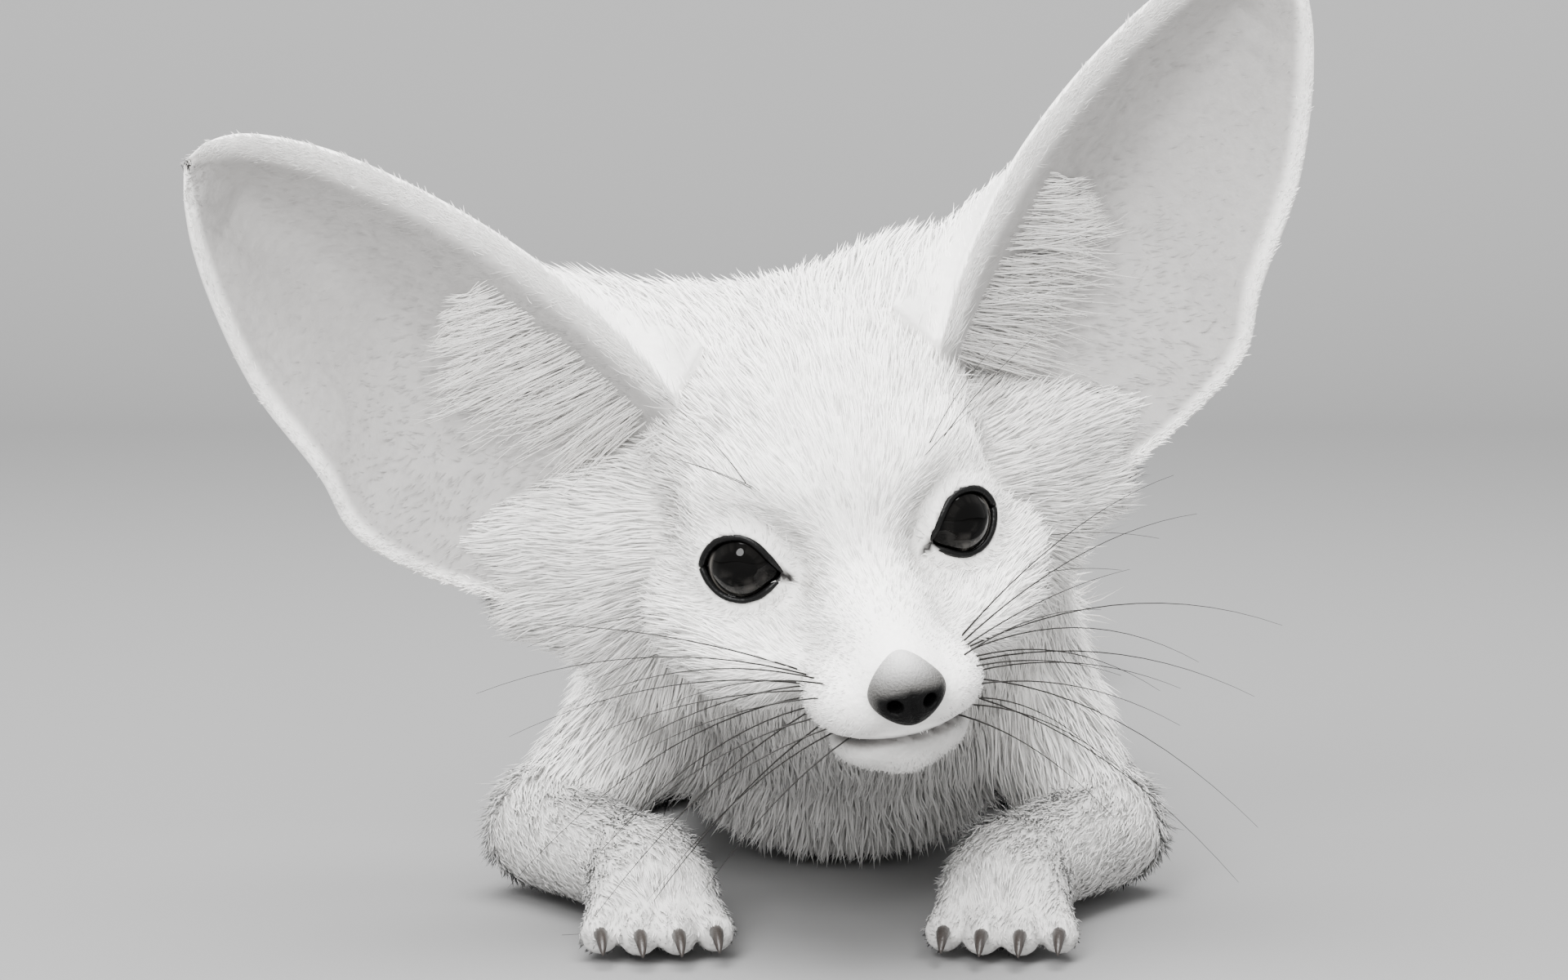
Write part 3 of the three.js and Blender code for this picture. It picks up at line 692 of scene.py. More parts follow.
def ring_faces(rows, around, order, turned=False, closed=False):
    """Faces between rings of points, corners in the given order, and the end faces unless closed."""
    i, j = np.meshgrid(np.arange(rows if closed else rows - 1), np.arange(around), indexing="ij")
    low, high, k = i * around, (i + 1) % rows * around, (j + 1) % around
    corners = np.stack([low + j, low + k, high + k, high + j], -1).reshape(-1, 4)
    ends = [] if closed else [np.arange(around), np.arange(around)[::-1] + (rows - 1) * around]
    return [*corners[:, order], *(end[::-1] if turned else end for end in ends)]


# Markings and painted shade: the colour of skin and coat at a place of the body

PALE = at(0.93, 0.915, 0.89)
SAND = at(0.74, 0.69, 0.63)
DARK = at(0.035, 0.030, 0.027)
LID = at(0.005, 0.004, 0.004)
# Painted shade: grey for the mouth's parting line, standing in for the shadow in its crease.
MOUTH_LINE_SHADE = at(0.16, 0.155, 0.15)
# Painted shade: how much darker the paws and forearms are painted, as they lie in shade.
LIMB_PAINTED_SHADE = {"paw": 0.42, "forearm": 0.26}


def part_weights(p, softness=4):
    d = np.stack([skin_field(one)(p) for one in PARTS], -1)
    w = np.exp(-(d - d.min(-1, keepdims=True)) / softness)
    return w / w.sum(-1, keepdims=True)


def markings_and_painted_shade(p, weights):
    """The coat's colour: pale, sandier on the back, with painted shade on the jaw and paws, dark at the
    tail's end.
    """
    names = [one["name"] for one in PARTS]
    trunk = ("head", "neck", "torso", "tail")
    on_head, on_neck, on_torso, on_tail = (weights[:, names.index(name)] for name in trunk)
    back = on_torso + on_tail + 0.5 * on_neck
    top = smoothstep(p[:, 2], 45, 80)
    tone = lerp(PALE, SAND, column(0.55 * back * np.clip(top + 0.15 * noise(p, 9, 3), 0, 1)))
    q = to_head(p)
    left = q.copy()
    left[:, 0] = np.abs(q[:, 0])
    inner_corner = length_of((left - at(9.6, -4.5, -3.4)) / at(2.4, 4, 2.6))
    tone = lerp(tone, SAND * 0.55, column(0.65 * on_head * smoothstep(inner_corner, 1.3, 0.2)))
    # Painted shadow: the lower lip and chin are darkened below the mouth line, as the upper lip and muzzle
    # shade them.
    low = mouth_level(q) - q[:, 2]
    under = smoothstep(low, -0.2, 0.6) * smoothstep(-q[:, 1], -4, 6) * on_head
    tone = tone * column(1 - under * lerp(0.6, 0.2, smoothstep(low, 0, 6)))
    share, foot, _ = along_curve(TAIL_CURVE, p)
    tip = smoothstep(share + 0.04 * noise(p, 7, 5), TAIL["dark"] - 0.05, TAIL["dark"] + 0.07)
    gland = bell(share, 0.17, 0.07) * smoothstep(p[:, 2] - foot[:, 2], 0, 6) * 0.7
    tone = lerp(tone, SAND, column(on_tail * 0.25))
    # Painted shade on the paws and forearms.
    for word, shade in LIMB_PAINTED_SHADE.items():
        on_limb = sum(weights[:, i] for i, name in enumerate(names) if word in name)
        tone = tone * column(1 - shade * on_limb)
    return lerp(tone, DARK, column(on_tail * np.maximum(tip, gland)))

# Materials


class Nodes:
    """A new material, and short ways to add and join its nodes."""

    def __init__(self, name, **inputs):
        self.material = bpy.data.materials.new(name)
        self.material.use_nodes = True
        self.tree = self.material.node_tree
        self.shader = self.tree.nodes["Principled BSDF"]
        for socket, value in inputs.items():
            self.shader.inputs[socket.replace("_", " ")].default_value = value

    def add(self, kind, inputs=(), **settings):
        node = self.tree.nodes.new("ShaderNode" + kind)
        for key, value in settings.items():
            setattr(node, key, value)
        for socket, value in dict(inputs).items():
            if isinstance(value, bpy.types.NodeSocket):
                self.tree.links.new(value, node.inputs[socket])
            else:
                node.inputs[socket].default_value = value
        return node

    def join(self, socket, value):
        self.tree.links.new(value, self.shader.inputs[socket])

    def flecks(self, grain, detail):
        place = self.add("TexCoord").outputs["Object"]
        return self.add("TexNoise", {"Vector": place, "Scale": grain, "Detail": detail}).outputs["Fac"]

    def relief(self, height, strength, distance):
        bump = self.add("Bump", {"Height": height, "Strength": strength, "Distance": distance})
        self.join("Normal", bump.outputs["Normal"])

def coat_material(name, roughness, grain, bump, sheen=0.15, specular=0.3):
    look = {"Sheen_Weight": sheen, "Sheen_Roughness": 0.5, "Specular_IOR_Level": specular}
    made = Nodes(name, Roughness=roughness, **look)
    tone = made.add("Attribute", attribute_name="tone").outputs["Color"]
    fleck = made.flecks(grain, 3.0)
    limits = {"From Min": 0.3, "From Max": 0.7, "To Min": 0.93, "To Max": 1.03}
    shade = made.add("MapRange", {"Value": fleck, **limits}).outputs["Result"]
    shaded = made.add("VectorMath", {0: tone, "Scale": shade}, operation="SCALE")
    made.join("Base Color", shaded.outputs["Vector"])
    if bump:
        made.relief(fleck, bump, 0.0004)
    return made.material

def plain_material(name, color, roughness, grain=2500, bump=0.2, specular=0.5):
    made = Nodes(name, Roughness=roughness, Specular_IOR_Level=specular)
    fleck = made.flecks(grain, 2.0)
    dark, light = [(*[c * s for c in color], 1) for s in (0.7, 1.3)]
    shaded = made.add("Mix", {"Factor": fleck, 6: dark, 7: light}, data_type="RGBA")
    made.join("Base Color", shaded.outputs[2])
    made.relief(fleck, bump, 0.0003)
    return made.material

SKIN_LOOK = coat_material("coat_skin", 0.85, 900, 0.6)
TUFT_LOOK = coat_material("coat_tufts", 0.65, 260, 0)
EAR_LOOK = coat_material("ear_skin", 0.7, 500, 0.5)
CLAW_LOOK = plain_material("claw_horn", (0.022, 0.018, 0.016), 0.35)
NOSE_LOOK = coat_material("nose_skin", 0.45, 2200, 0.8, sheen=0, specular=0.1)
EYE_LOOK = coat_material("wet_eye", 0.03, 300, 0, sheen=0, specular=0.1)
# Painted sheen: the wet line's pale grey colour stands in for the light its tear film reflects.
WET_SHEEN_LOOK = plain_material("tear_film", (0.35, 0.35, 0.35), 0.08, 900, 0.0)
LID_LOOK = plain_material("lid_skin", (0.004, 0.004, 0.004), 0.35, 2500, 0.3, 0.15)
WHISKER_LOOK = plain_material("whisker", (0.014, 0.013, 0.012), 0.45, 900, 0.0, 0.2)

# Skin

skin_points, skin_faces = surface_of(fill_grid(GRID), GRID)
skin_points = settle(skin_shape, skin_points)
skin_weights = part_weights(skin_points)
skin_normals = unit(slope_of(skin_shape, skin_points))
in_head_frame = to_head(skin_points)
skin_tones = markings_and_painted_shade(skin_points, skin_weights) * 0.96
rim = eyelash_room(in_head_frame)
# Painted shade along the mouth's parting line, standing in for the shadow under the upper lip.
lips = smoothstep(mouth_distance(in_head_frame), 1.1, 0.3) * (in_head_frame[:, 1] < 0)
skin_tones = lerp(skin_tones, MOUTH_LINE_SHADE, column(lips))
skin_tones = lerp(skin_tones, LID, column(smoothstep(rim, LID_DARK, LID_DARK - 0.8)))
skin = make_mesh("skin", skin_points, skin_faces, SKIN_LOOK, tones=skin_tones)
flesh = [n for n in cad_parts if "claw" not in n and not n.startswith(("eye_", "nose", "ear_"))]
show(skin, "fur", *flesh)
print("skin", len(skin_points), "points", flush=True)

# Tufts: flat three-sided tapered spikes that rise from the skin and bend over along the lie of the coat

STATIONS = {2: (0, 0.5), 3: (0, 0.35, 0.7), 5: (0, 0.2, 0.4, 0.6, 0.8)}
TAPER = ((0, 0.5, 1), (0.75, 1, 0))
COAT_LIMIT = 190000
PATCH = 0.0015

def laid_flat(lie, normals):
    return unit(lie - column((lie * normals).sum(-1)) * normals)


def tuft_mesh(roots, normals, lie, tufts, rings):
    """Points (n, k, 3) and shared faces of n tufts, from arrays of length, width, lift, sway and pull."""
    lie = laid_flat(lie, normals)
    aside = np.cross(normals, lie)
    length, width = column(tufts["length"]), column(tufts["width"])
    lift = np.radians(column(tufts["lift"]))
    rows = []
    for s in (*STATIONS[rings], 1):
        rise = np.sin(lift) * (1 - (1 - s) ** 2)
        middle = roots - 0.25 * normals + length * (np.cos(lift) * s * lie + rise * normals)
        middle = middle + length * s * s * tufts["sway"] + s ** 1.5 * tufts["pull"]
        if s == 1:
            rows.append(middle)
            break
        half = width / 2 * np.interp(s, *TAPER)
        for turn in (90, 210, 330):
            turn = math.radians(turn)
            rows.append(middle + half * (math.cos(turn) * aside + 0.5 * math.sin(turn) * normals))
    points = np.stack(rows, 1)
    points[..., 2] = np.maximum(points[..., 2], 0.25)
    faces = [(0, 2, 1)]
    for r in range(rings - 1):
        for j in range(3):
            a, b = 3 * r + j, 3 * r + (j + 1) % 3
            faces += [(a, b, a + 3), (b, b + 3, a + 3)]
    last = 3 * (rings - 1)
    faces += [(last + j, last + (j + 1) % 3, 3 * rings) for j in range(3)]
    return points, np.array(faces)


def tuft_shading(points, normals, weight):
    """Normals that lean from a tuft's own roundness to the skin's, as light scatters in a fine coat."""
    count, corners, _ = points.shape
    rows = points[:, :-1].reshape(count, -1, 3, 3)
    own = unit(rows - rows.mean(2, keepdims=True)).reshape(count, corners - 1, 3)
    own = np.concatenate([own, np.zeros((count, 1, 3))], 1)
    return unit(np.reshape(weight, (-1, 1, 1)) * own + normals[:, None]).reshape(-1, 3)


def add_tufts(name, roots, normals, lie, tufts, rings, uv, tones, own=0.5):
    """One or more pieces of tufts, each under the limit of triangles."""
    count = len(roots)
    pieces = math.ceil(count * (6 * rings - 2) / COAT_LIMIT)
    order = np.arange(count) * pieces // count
    corners = 3 * rings + 1
    patch = [(dx, dy) for dy in np.linspace(-PATCH, 0.0008, rings) for dx in (-PATCH, 0, PATCH)]
    patch = np.array([*patch, (0, PATCH)])
    # Painted shade and light: each tuft is darker at its root, where the coat shades it, and lighter towards
    # its tip.
    shade = np.array([lerp(0.92, 1.03, s) for s in STATIONS[rings] for _ in range(3)] + [1.05])
    for k in range(pieces):
        chosen = order == k
        some = {key: value[chosen] for key, value in tufts.items()}
        points, faces = tuft_mesh(roots[chosen], normals[chosen], lie[chosen], some, rings)
        n = len(points)
        all_faces = (faces[None] + corners * np.arange(n)[:, None, None]).reshape(-1, 3)
        patches = (uv[chosen][:, None] + patch[None]).reshape(-1, 2)
        colors = (tones[chosen][:, None] * shade[None, :, None]).reshape(-1, 3)
        piece_name = name if pieces == 1 else f"{name}_{k + 1}"
        flat = points.reshape(-1, 3)
        shading = tuft_shading(points, normals[chosen], np.broadcast_to(own, count)[chosen])
        made = make_mesh(piece_name, flat, all_faces, TUFT_LOOK, uv=patches, tones=colors, normals=shading)
        show(made, "fur")


def clump(roots, lie, length, strength, every):
    """How far each tuft's tip is drawn to the tip of the nearest of a few leading tufts."""
    leaders = np.arange(0, len(roots), every)
    tree = kdtree.KDTree(len(leaders))
    for i in leaders:
        tree.insert(roots[i], i)
    tree.balance()
    nearest = np.array([tree.find(p)[1] for p in roots])
    tips = roots + column(length) * lie
    return column(strength) * (tips[nearest] - tips) * column(length_of(roots[nearest] - roots) < 8)

def tuft_sizes(roots, lie, length, width, lift, spread, sway, clumping, every, limits=(3, 80)):
    """The tufts' sizes, with some chance in width, lift and sway."""
    count = len(roots)
    return {
        "length": length,
        "width": width * rng.uniform(0.8, 1.2, count),
        "lift": np.clip(lift + rng.normal(0, spread, count), *limits),
        "sway": sway * rng.normal(0, 1, (count, 3)),
        "pull": clump(roots, lie, length, clumping, every),
    }


def scatter(points, faces, density):
    """Places spread over quads by a density at their points: each place's corners and their shares."""
    triangles = np.concatenate([faces[:, [0, 1, 2]], faces[:, [0, 2, 3]]], 1).reshape(-1, 3)
    a, b, c = (points[triangles[:, k]] for k in range(3))
    area = length_of(np.cross(b - a, c - a)) / 2
    way = np.cumsum(area * density[triangles].mean(-1))
    count = int(way[-1])
    picked = np.searchsorted(way, (np.arange(count) + rng.random(count)) * way[-1] / count)
    picked = np.minimum(picked, len(triangles) - 1)
    first, second = np.sqrt(rng.random(count)), rng.random(count)
    shares = np.stack([1 - first, first * (1 - second), first * second], -1)
    return triangles[picked], shares


def at_places(values, corners, shares):
    return (values[corners] * shares.reshape(*shares.shape, *[1] * (values.ndim - 1))).sum(1)


# The coat on the skin

ATLAS = 5
COAT = {"wild": 0.22, "lengths": (0.75, 1.2), "tones": (0.86, 1.09), "dark_share": 0.17, "dark": 0.6}
COAT_PIECES = {"head": "head", "ear_root": "head", "neck": "neck", "torso": "torso", "tail": "tail"}


def unwrap(p, weights):
    """Points' places on an unwrap of the skin: a cell for each part, along and round its spine."""
    index = weights.argmax(-1)
    uv = np.zeros((len(p), 2))
    for i, one in enumerate(PARTS):
        mine = index == i
        share, foot, way = along_curve(one["spine"], p[mine])
        side = unit(np.cross(way, at(0.1, 0, 1)))
        out = p[mine] - foot
        turn = np.arctan2((out * np.cross(side, way)).sum(-1), (out * side).sum(-1)) / (2 * math.pi) + 0.5
        cell = at(i % ATLAS, i // ATLAS)
        uv[mine] = (cell + 0.04 + 0.92 * np.stack([np.clip(share, 0, 1), turn], -1)) / ATLAS
    return uv


def mixed(key, p, weights):
    return (np.stack([of_points(one[key], p) for one in PARTS], -1) * weights).sum(-1)


def coat_lie(p, weights):
    lies = np.stack([one["lie"](p) for one in PARTS], 1)
    return unit((lies * weights[..., None]).sum(1))


def grow_coat():
    head_places = to_head(skin_points)
    density = mixed("density", skin_points, skin_weights)
    density *= (eyelash_room(head_places) > 0.6) * (nose_shape(head_places) > 0.5)
    density *= mouth_distance(head_places) + 3 * (head_places[:, 1] > -9) > 0.95
    density *= np.where(skin_points[:, 2] < 2.5, 0.3, 1)
    corners, shares = scatter(skin_points, skin_faces, density)
    roots = at_places(skin_points, corners, shares)
    normals = unit(at_places(skin_normals, corners, shares))
    weights = part_weights(roots)
    lie = coat_lie(roots, weights)
    q = to_head(roots)
    head_weight = weights[:, 0]
    for side in SIDES.values():
        centre, gaze, across, upward = eye_axes(side)
        away = q - centre
        away -= column(away @ gaze) * gaze
        near = bell(length_of(away), 0, 8) * head_weight
        lie = lie + column(1.1 * near) * (unit(away) @ HEAD_TURN.T)
    lie = laid_flat(unit(lie + COAT["wild"] * noise_vector(roots, 5, 20)), normals)
    by_lids, by_nose = smoothstep(eyelash_room(q), 0.8, 7), smoothstep(nose_shape(q), 0.5, 6)
    short = lerp(0.45, 1, np.minimum(by_lids, by_nose))
    short *= lerp(0.5, 1, smoothstep(roots[:, 2], 1, 12))
    short *= np.where(q[:, 1] < -8, lerp(0.35, 1, smoothstep(mouth_distance(q), 0.8, 4)), 1)
    length = mixed("length", roots, weights) * short * rng.uniform(*COAT["lengths"], len(roots))
    width, lift, clumping = (mixed(key, roots, weights) for key in ("width", "lift", "clump"))
    tufts = tuft_sizes(roots, lie, length, width, lift, 4, 0.07, clumping, 16, limits=(4, 60))
    dark = rng.random(len(roots)) < COAT["dark_share"]
    dim = np.where(dark, COAT["dark"], rng.uniform(*COAT["tones"], len(roots)))
    tones = markings_and_painted_shade(roots, weights) * column(dim)
    uv = unwrap(roots, weights)
    main = weights.argmax(-1)
    groups = {}
    for i, one in enumerate(PARTS):
        groups.setdefault(COAT_PIECES.get(one["name"], "legs"), []).append(i)
    for group, members in groups.items():
        mine = np.isin(main, members)
        some = {key: value[mine] for key, value in tufts.items()}
        rings = 3 if group == "tail" else 2
        own = 0.45 + 0.35 * head_weight[mine]
        place = roots[mine], normals[mine], lie[mine]
        add_tufts("coat_" + group, *place, some, rings, uv[mine], tones[mine], own)
        print("coat", group, mine.sum(), "tufts", flush=True)


grow_coat()

# Ears

EAR_TIP = (92.8, 28, 77)
INNER_RIM = curve_through(
    [
        (21, 20, 25), (29, 26.5, 37.5), (42, 31.5, 52.3), (57, 33, 65.3),
        (71.5, 31, 75.3), (83.5, 29, 79.9), (89, 28.4, 79.4), EAR_TIP,
    ],
    121,
)
OUTER_RIM = curve_through(
    [
        (50, 44, -13), (67, 42, -3), (78.5, 36.5, 9), (82, 34.5, 20),
        (90, 31, 38), (94.3, 28, 58), (94.6, 27.5, 69), EAR_TIP,
    ],
    121,
)
EAR = {
    "skin": 1.2, "inset": 0.5, "roll": 0.8, "fill": 15,
    "bowl_deep": 25, "bowl_tip": 5, "overhang": 0.42, "heel": 0.5,
}
EAR_GRID = {"along": 104, "across": 80, "end": 0.993}

def ear_thin(u):
    return np.minimum(1, (1 - u) * 12)


def ear_face(side, u, v, inner):
    """The ear in the head frame: u from base to tip, v from the inner rim to the outer one."""
    bend = np.sin(math.pi * np.clip(v, 0, 1))
    if inner:
        across = v
        bend = bend ** lerp(1.5, 1.0, smoothstep(v, 0.35, 0.65))
    else:
        overhang = EAR["overhang"] * np.maximum(0, 1 - u / 0.45)
        across = v - overhang * np.sin(2 * math.pi * v) * np.where(v < 0.5, 1, 0.2)
        bend = bend ** 0.8
    deep = lerp(EAR["bowl_tip"], EAR["bowl_deep"], (1 - u) ** 0.8) * np.minimum(1, (1 - u) * 6)
    if not inner:
        deep = deep * lerp(EAR["heel"], 1, smoothstep(u, 0, 0.32))
    p = lerp(on_curve(INNER_RIM, u), on_curve(OUTER_RIM, u), column(across))
    p[..., 1] += deep * bend
    p[..., 0] *= side
    return p


def ear_ways(side, u, v, inner, step=0.004):
    """The normal towards the cup's opening, and the ways along and across the ear."""

    def face(u, v):
        return ear_face(side, np.clip(u, 0, 1), np.clip(v, 0, 1), inner)

    along = face(u + step, v) - face(u - step, v)
    across = face(u, v + step) - face(u, v - step)
    return unit(np.cross(along, across)) * -side, unit(along), unit(across)

def ear_back(side, u, v):
    forward, along, across = ear_ways(side, u, v, False)
    place = ear_face(side, u, v, False) + column(EAR["inset"] * ear_thin(u)) * forward
    return place, forward, along, across

def ear_front(side, u, v):
    forward, along, across = ear_ways(side, u, v, True)
    roll = EAR["roll"] * bell(v, 0.05, 0.09) * np.minimum(1, (1 - u) * 5) * smoothstep(u, 0, 0.15)
    folds = 0.5 * np.sin(9 * v + 2.5 * u) * bell(v, 0.6, 0.25) * smoothstep(u, 0.75, 0.2)
    folds = folds * smoothstep(v, 0.05, 0.3) * smoothstep(v, 0.98, 0.8)
    arch = np.sin(math.pi * np.clip(v, 0, 1)) ** 0.8
    fill = EAR["fill"] * smoothstep(u, 0.5, 0) * arch * smoothstep(v, 0.1, 0.5)
    thick = (EAR["inset"] + EAR["skin"]) * ear_thin(u) + roll + folds
    place = ear_face(side, u, v, True) + column(thick) * forward - column(fill) * at(0, 1, 0)
    return place, forward, along, across

def add_ear(side_name, side):
    rows, columns = EAR_GRID["along"], EAR_GRID["across"]
    u_line = EAR_GRID["end"] * np.linspace(0, 1, rows) ** 0.95
    v_line = 0.5 - 0.5 * np.cos(math.pi * np.linspace(0, 1, columns))
    u, v = np.meshgrid(u_line, v_line, indexing="ij")
    front, _, _, across = ear_front(side, u, v)
    back = ear_back(side, u, v)[0]
    edge = 0.5 * column(ear_thin(u)) * across
    first, last = ((front + back)[:, [k]] / 2 + way * edge[:, [k]] for k, way in ((0, -1), (-1, 1)))
    loop = np.concatenate([front, last, back[:, ::-1], first], 1)
    loop[0] = lerp(loop[0], at(side * 20, 36, 4), 0.4)
    around = loop.shape[1]
    points = from_head(loop.reshape(-1, 3))
    faces = ring_faces(rows, around, (3, 2, 1, 0) if side > 0 else (0, 1, 2, 3), side > 0)
    tones = np.broadcast_to(PALE * 0.85, (rows, around, 3)).copy()
    tones[:, :columns] = cup_tone(u, v)
    veins = np.abs(noise(points * at(1, 0.4, 0.6), 13, 33) + 0.4 * noise(points, 6, 35))
    veins = 0.09 * smoothstep(veins, 0.11, 0.0) * smoothstep(np.repeat(u_line, around), 0.15, 0.4)
    inside = np.tile(np.arange(around) < columns, rows)
    shade = 1 + 0.02 * noise(points, 6, 31) - inside * veins
    tones = tones.reshape(-1, 3) * column(shade)
    ear = make_mesh("ear_" + side_name + "_skin", points, faces, EAR_LOOK, tones=tones)
    show(ear, "ear_skin", "ear_" + side_name)
    ear_coat(side_name, side)

EAR_INSIDE = at(0.39, 0.38, 0.372)
EAR_HAIR = {"back": 5600, "inside": 3800, "rim": 4800, "long": 1450, "skirt": 480}
EAR_HAIR_END = 0.962
SKIRT_LINE = curve_through(
    [(17, 17, 31), (21, 19, 25), (26, 21, 19), (33, 25, 14), (42, 31, 12), (52, 37, 10)], 60
)


def cup_tone(u, v):
    """Pale on the rims, darker skin in the cup."""
    chord = length_of(on_curve(OUTER_RIM, u) - on_curve(INNER_RIM, u))
    return lerp(PALE, EAR_INSIDE, column(smoothstep(chord * np.minimum(v, 1.6 * (1 - v)), 0.9, 4.5)))


def ear_coat(side_name, side):
    """Short fur behind, down inside, dense fur on the rims, and long hairs over the cup."""
    index = 0 if side > 0 else 1

    def grow(
        name, u, v, inner, lie_along, lie_across, length, width, lift, tone,
        rings=2, sway=0.1, clumping=0.2, own=0.5,
    ):
        count = len(u)
        place, forward, along, across = (ear_front if inner else ear_back)(side, u, v)
        roots, normals = from_head(place), (forward if inner else -forward) @ HEAD_TURN.T
        way = column(lie_along) * along + column(lie_across) * across
        lie = unit(way + 0.15 * rng.normal(0, 1, (count, 3))) @ HEAD_TURN.T
        length = length * rng.uniform(0.7, 1.2, count)
        tufts = tuft_sizes(roots, lie, length, width, lift, 4, sway, clumping, 14)
        tones = tone * column(rng.uniform(0.9, 1.1, count))
        uv = (at(index + 2 * inner, ATLAS - 1) + 0.04 + 0.92 * np.stack([u, v], -1)) / ATLAS
        add_tufts(f"ear_{side_name}_{name}", roots, normals, lie, tufts, rings, uv, tones, own)

    n = EAR_HAIR["back"]
    u, v = rng.random(n) ** 0.8 * 0.97, rng.random(n)
    near_rim = lerp(0.3, 1, smoothstep(np.minimum(v, 1 - v), 0, 0.15))
    length, lift = lerp(8, 2.6, u ** 0.5) * near_rim, lerp(15, 8, smoothstep(u, 0, 0.4))
    u = np.minimum(u, EAR_HAIR_END)
    grow("back", u, v, False, 1, 0.5 - v, length, 0.36, lift, PALE * 0.98, sway=0.08, clumping=0.3, own=0.8)
    n = EAR_HAIR["inside"]
    u, v = rng.random(n) ** 0.9 * 0.96, rng.random(n) ** 1.2
    tone = cup_tone(u, v) * 1.05
    grow("down", u, v, True, 0.7, 0.7, lerp(3.2, 1.6, u), 0.2, 6, tone, own=0.25)
    n = EAR_HAIR["rim"]
    u = rng.random(n) * EAR_HAIR_END
    chord = length_of(on_curve(OUTER_RIM, u) - on_curve(INNER_RIM, u))
    inner = rng.random(n) < 0.68
    v = np.abs(rng.normal(0, 1, n)) * np.where(inner, 1.1, 0.7) / chord
    v = np.where(inner, v, 1 - v)
    way = np.where(inner, -0.25, 0.4) + 0.3 * rng.normal(0, 1, n)
    length = np.where(inner, 2.3, 1.8) * np.minimum(1, 0.4 + 3 * (1 - u))
    length = length * lerp(2.4, 1, smoothstep(u, 0, 0.2))
    # Painted light: the rim's tufts are painted brighter than the coat, as light catches the rims.
    grow("rim", u, np.clip(v, 0, 1), True, 1, way, length, 0.2, 15, PALE * 1.06, sway=0.08)
    n = EAR_HAIR["long"]
    u = np.clip(0.02 + 0.36 * rng.random(n) ** 1.3 + 0.012 * rng.normal(0, 1, n), 0.01, 0.4)
    v = 0.11 + 0.2 * rng.random(n)
    length = lerp(29, 19, u / 0.38) * np.clip(0.3 + (0.38 - u) * 5, 0.25, 1) * rng.uniform(0.6, 1.1, n)
    along = lerp(0.05, 0.75, u / 0.38)
    # Painted light: the long hairs are painted brighter than the coat, as if lit against the cup.
    grow("long", u, v, True, along, 1, length, 0.21, 17, PALE * 1.14, 5, 0.04, 0.7, own=1.2)

def ear_skirt(side_name, side):
    """Tufts of the brow and the cheek that reach over the base of the cup and round its notch."""
    n = EAR_HAIR["skirt"]
    t = rng.uniform(0.3, 1, n)
    place = on_curve(SKIRT_LINE, t) + 1.2 * rng.normal(0, 1, (n, 3))
    place[:, 0] *= side
    roots = settle(skin_shape, from_head(place), 6)
    kept = length_of(roots - from_head(place)) < 2.5
    t, roots, n = t[kept], roots[kept], kept.sum()
    normals = unit(slope_of(skin_shape, roots))
    way = lerp(at(side, 0.3, -0.12), at(side, 0.35, 0.3), column(t)) + 0.08 * rng.normal(0, 1, (n, 3))
    lie = unit(way) @ HEAD_TURN.T
    length = lerp(10, 7.5, t) * rng.uniform(0.6, 1.2, n)
    tufts = tuft_sizes(roots, lie, length, 0.28, 16, 5, 0.1, 0.3, 12, limits=(-90, 90))
    tones = PALE * column(rng.uniform(0.92, 1.08, n))
    uv = unwrap(roots, part_weights(roots))
    add_tufts(f"ear_{side_name}_skirt", roots, normals, lie, tufts, 3, uv, tones)

for side_name, side in SIDES.items():
    add_ear(side_name, side)
    ear_skirt(side_name, side)

# Eyes: glossy dark balls with a cornea, behind dark almond-shaped lid margins

IRIS = {"pupil": 22, "edge": 37, "ring": 42, "bulge": 0.55}


def on_eye(side, ab, radius):
    """Points of a ball round the eye's centre, at places across and up from its gaze."""
    centre, gaze, across, upward = eye_axes(side)
    a, b = ab[..., :1], ab[..., 1:]
    ahead = np.sqrt(np.maximum(radius * radius - a * a - b * b, 0))
    return centre + ahead * gaze + a * across + b * upward


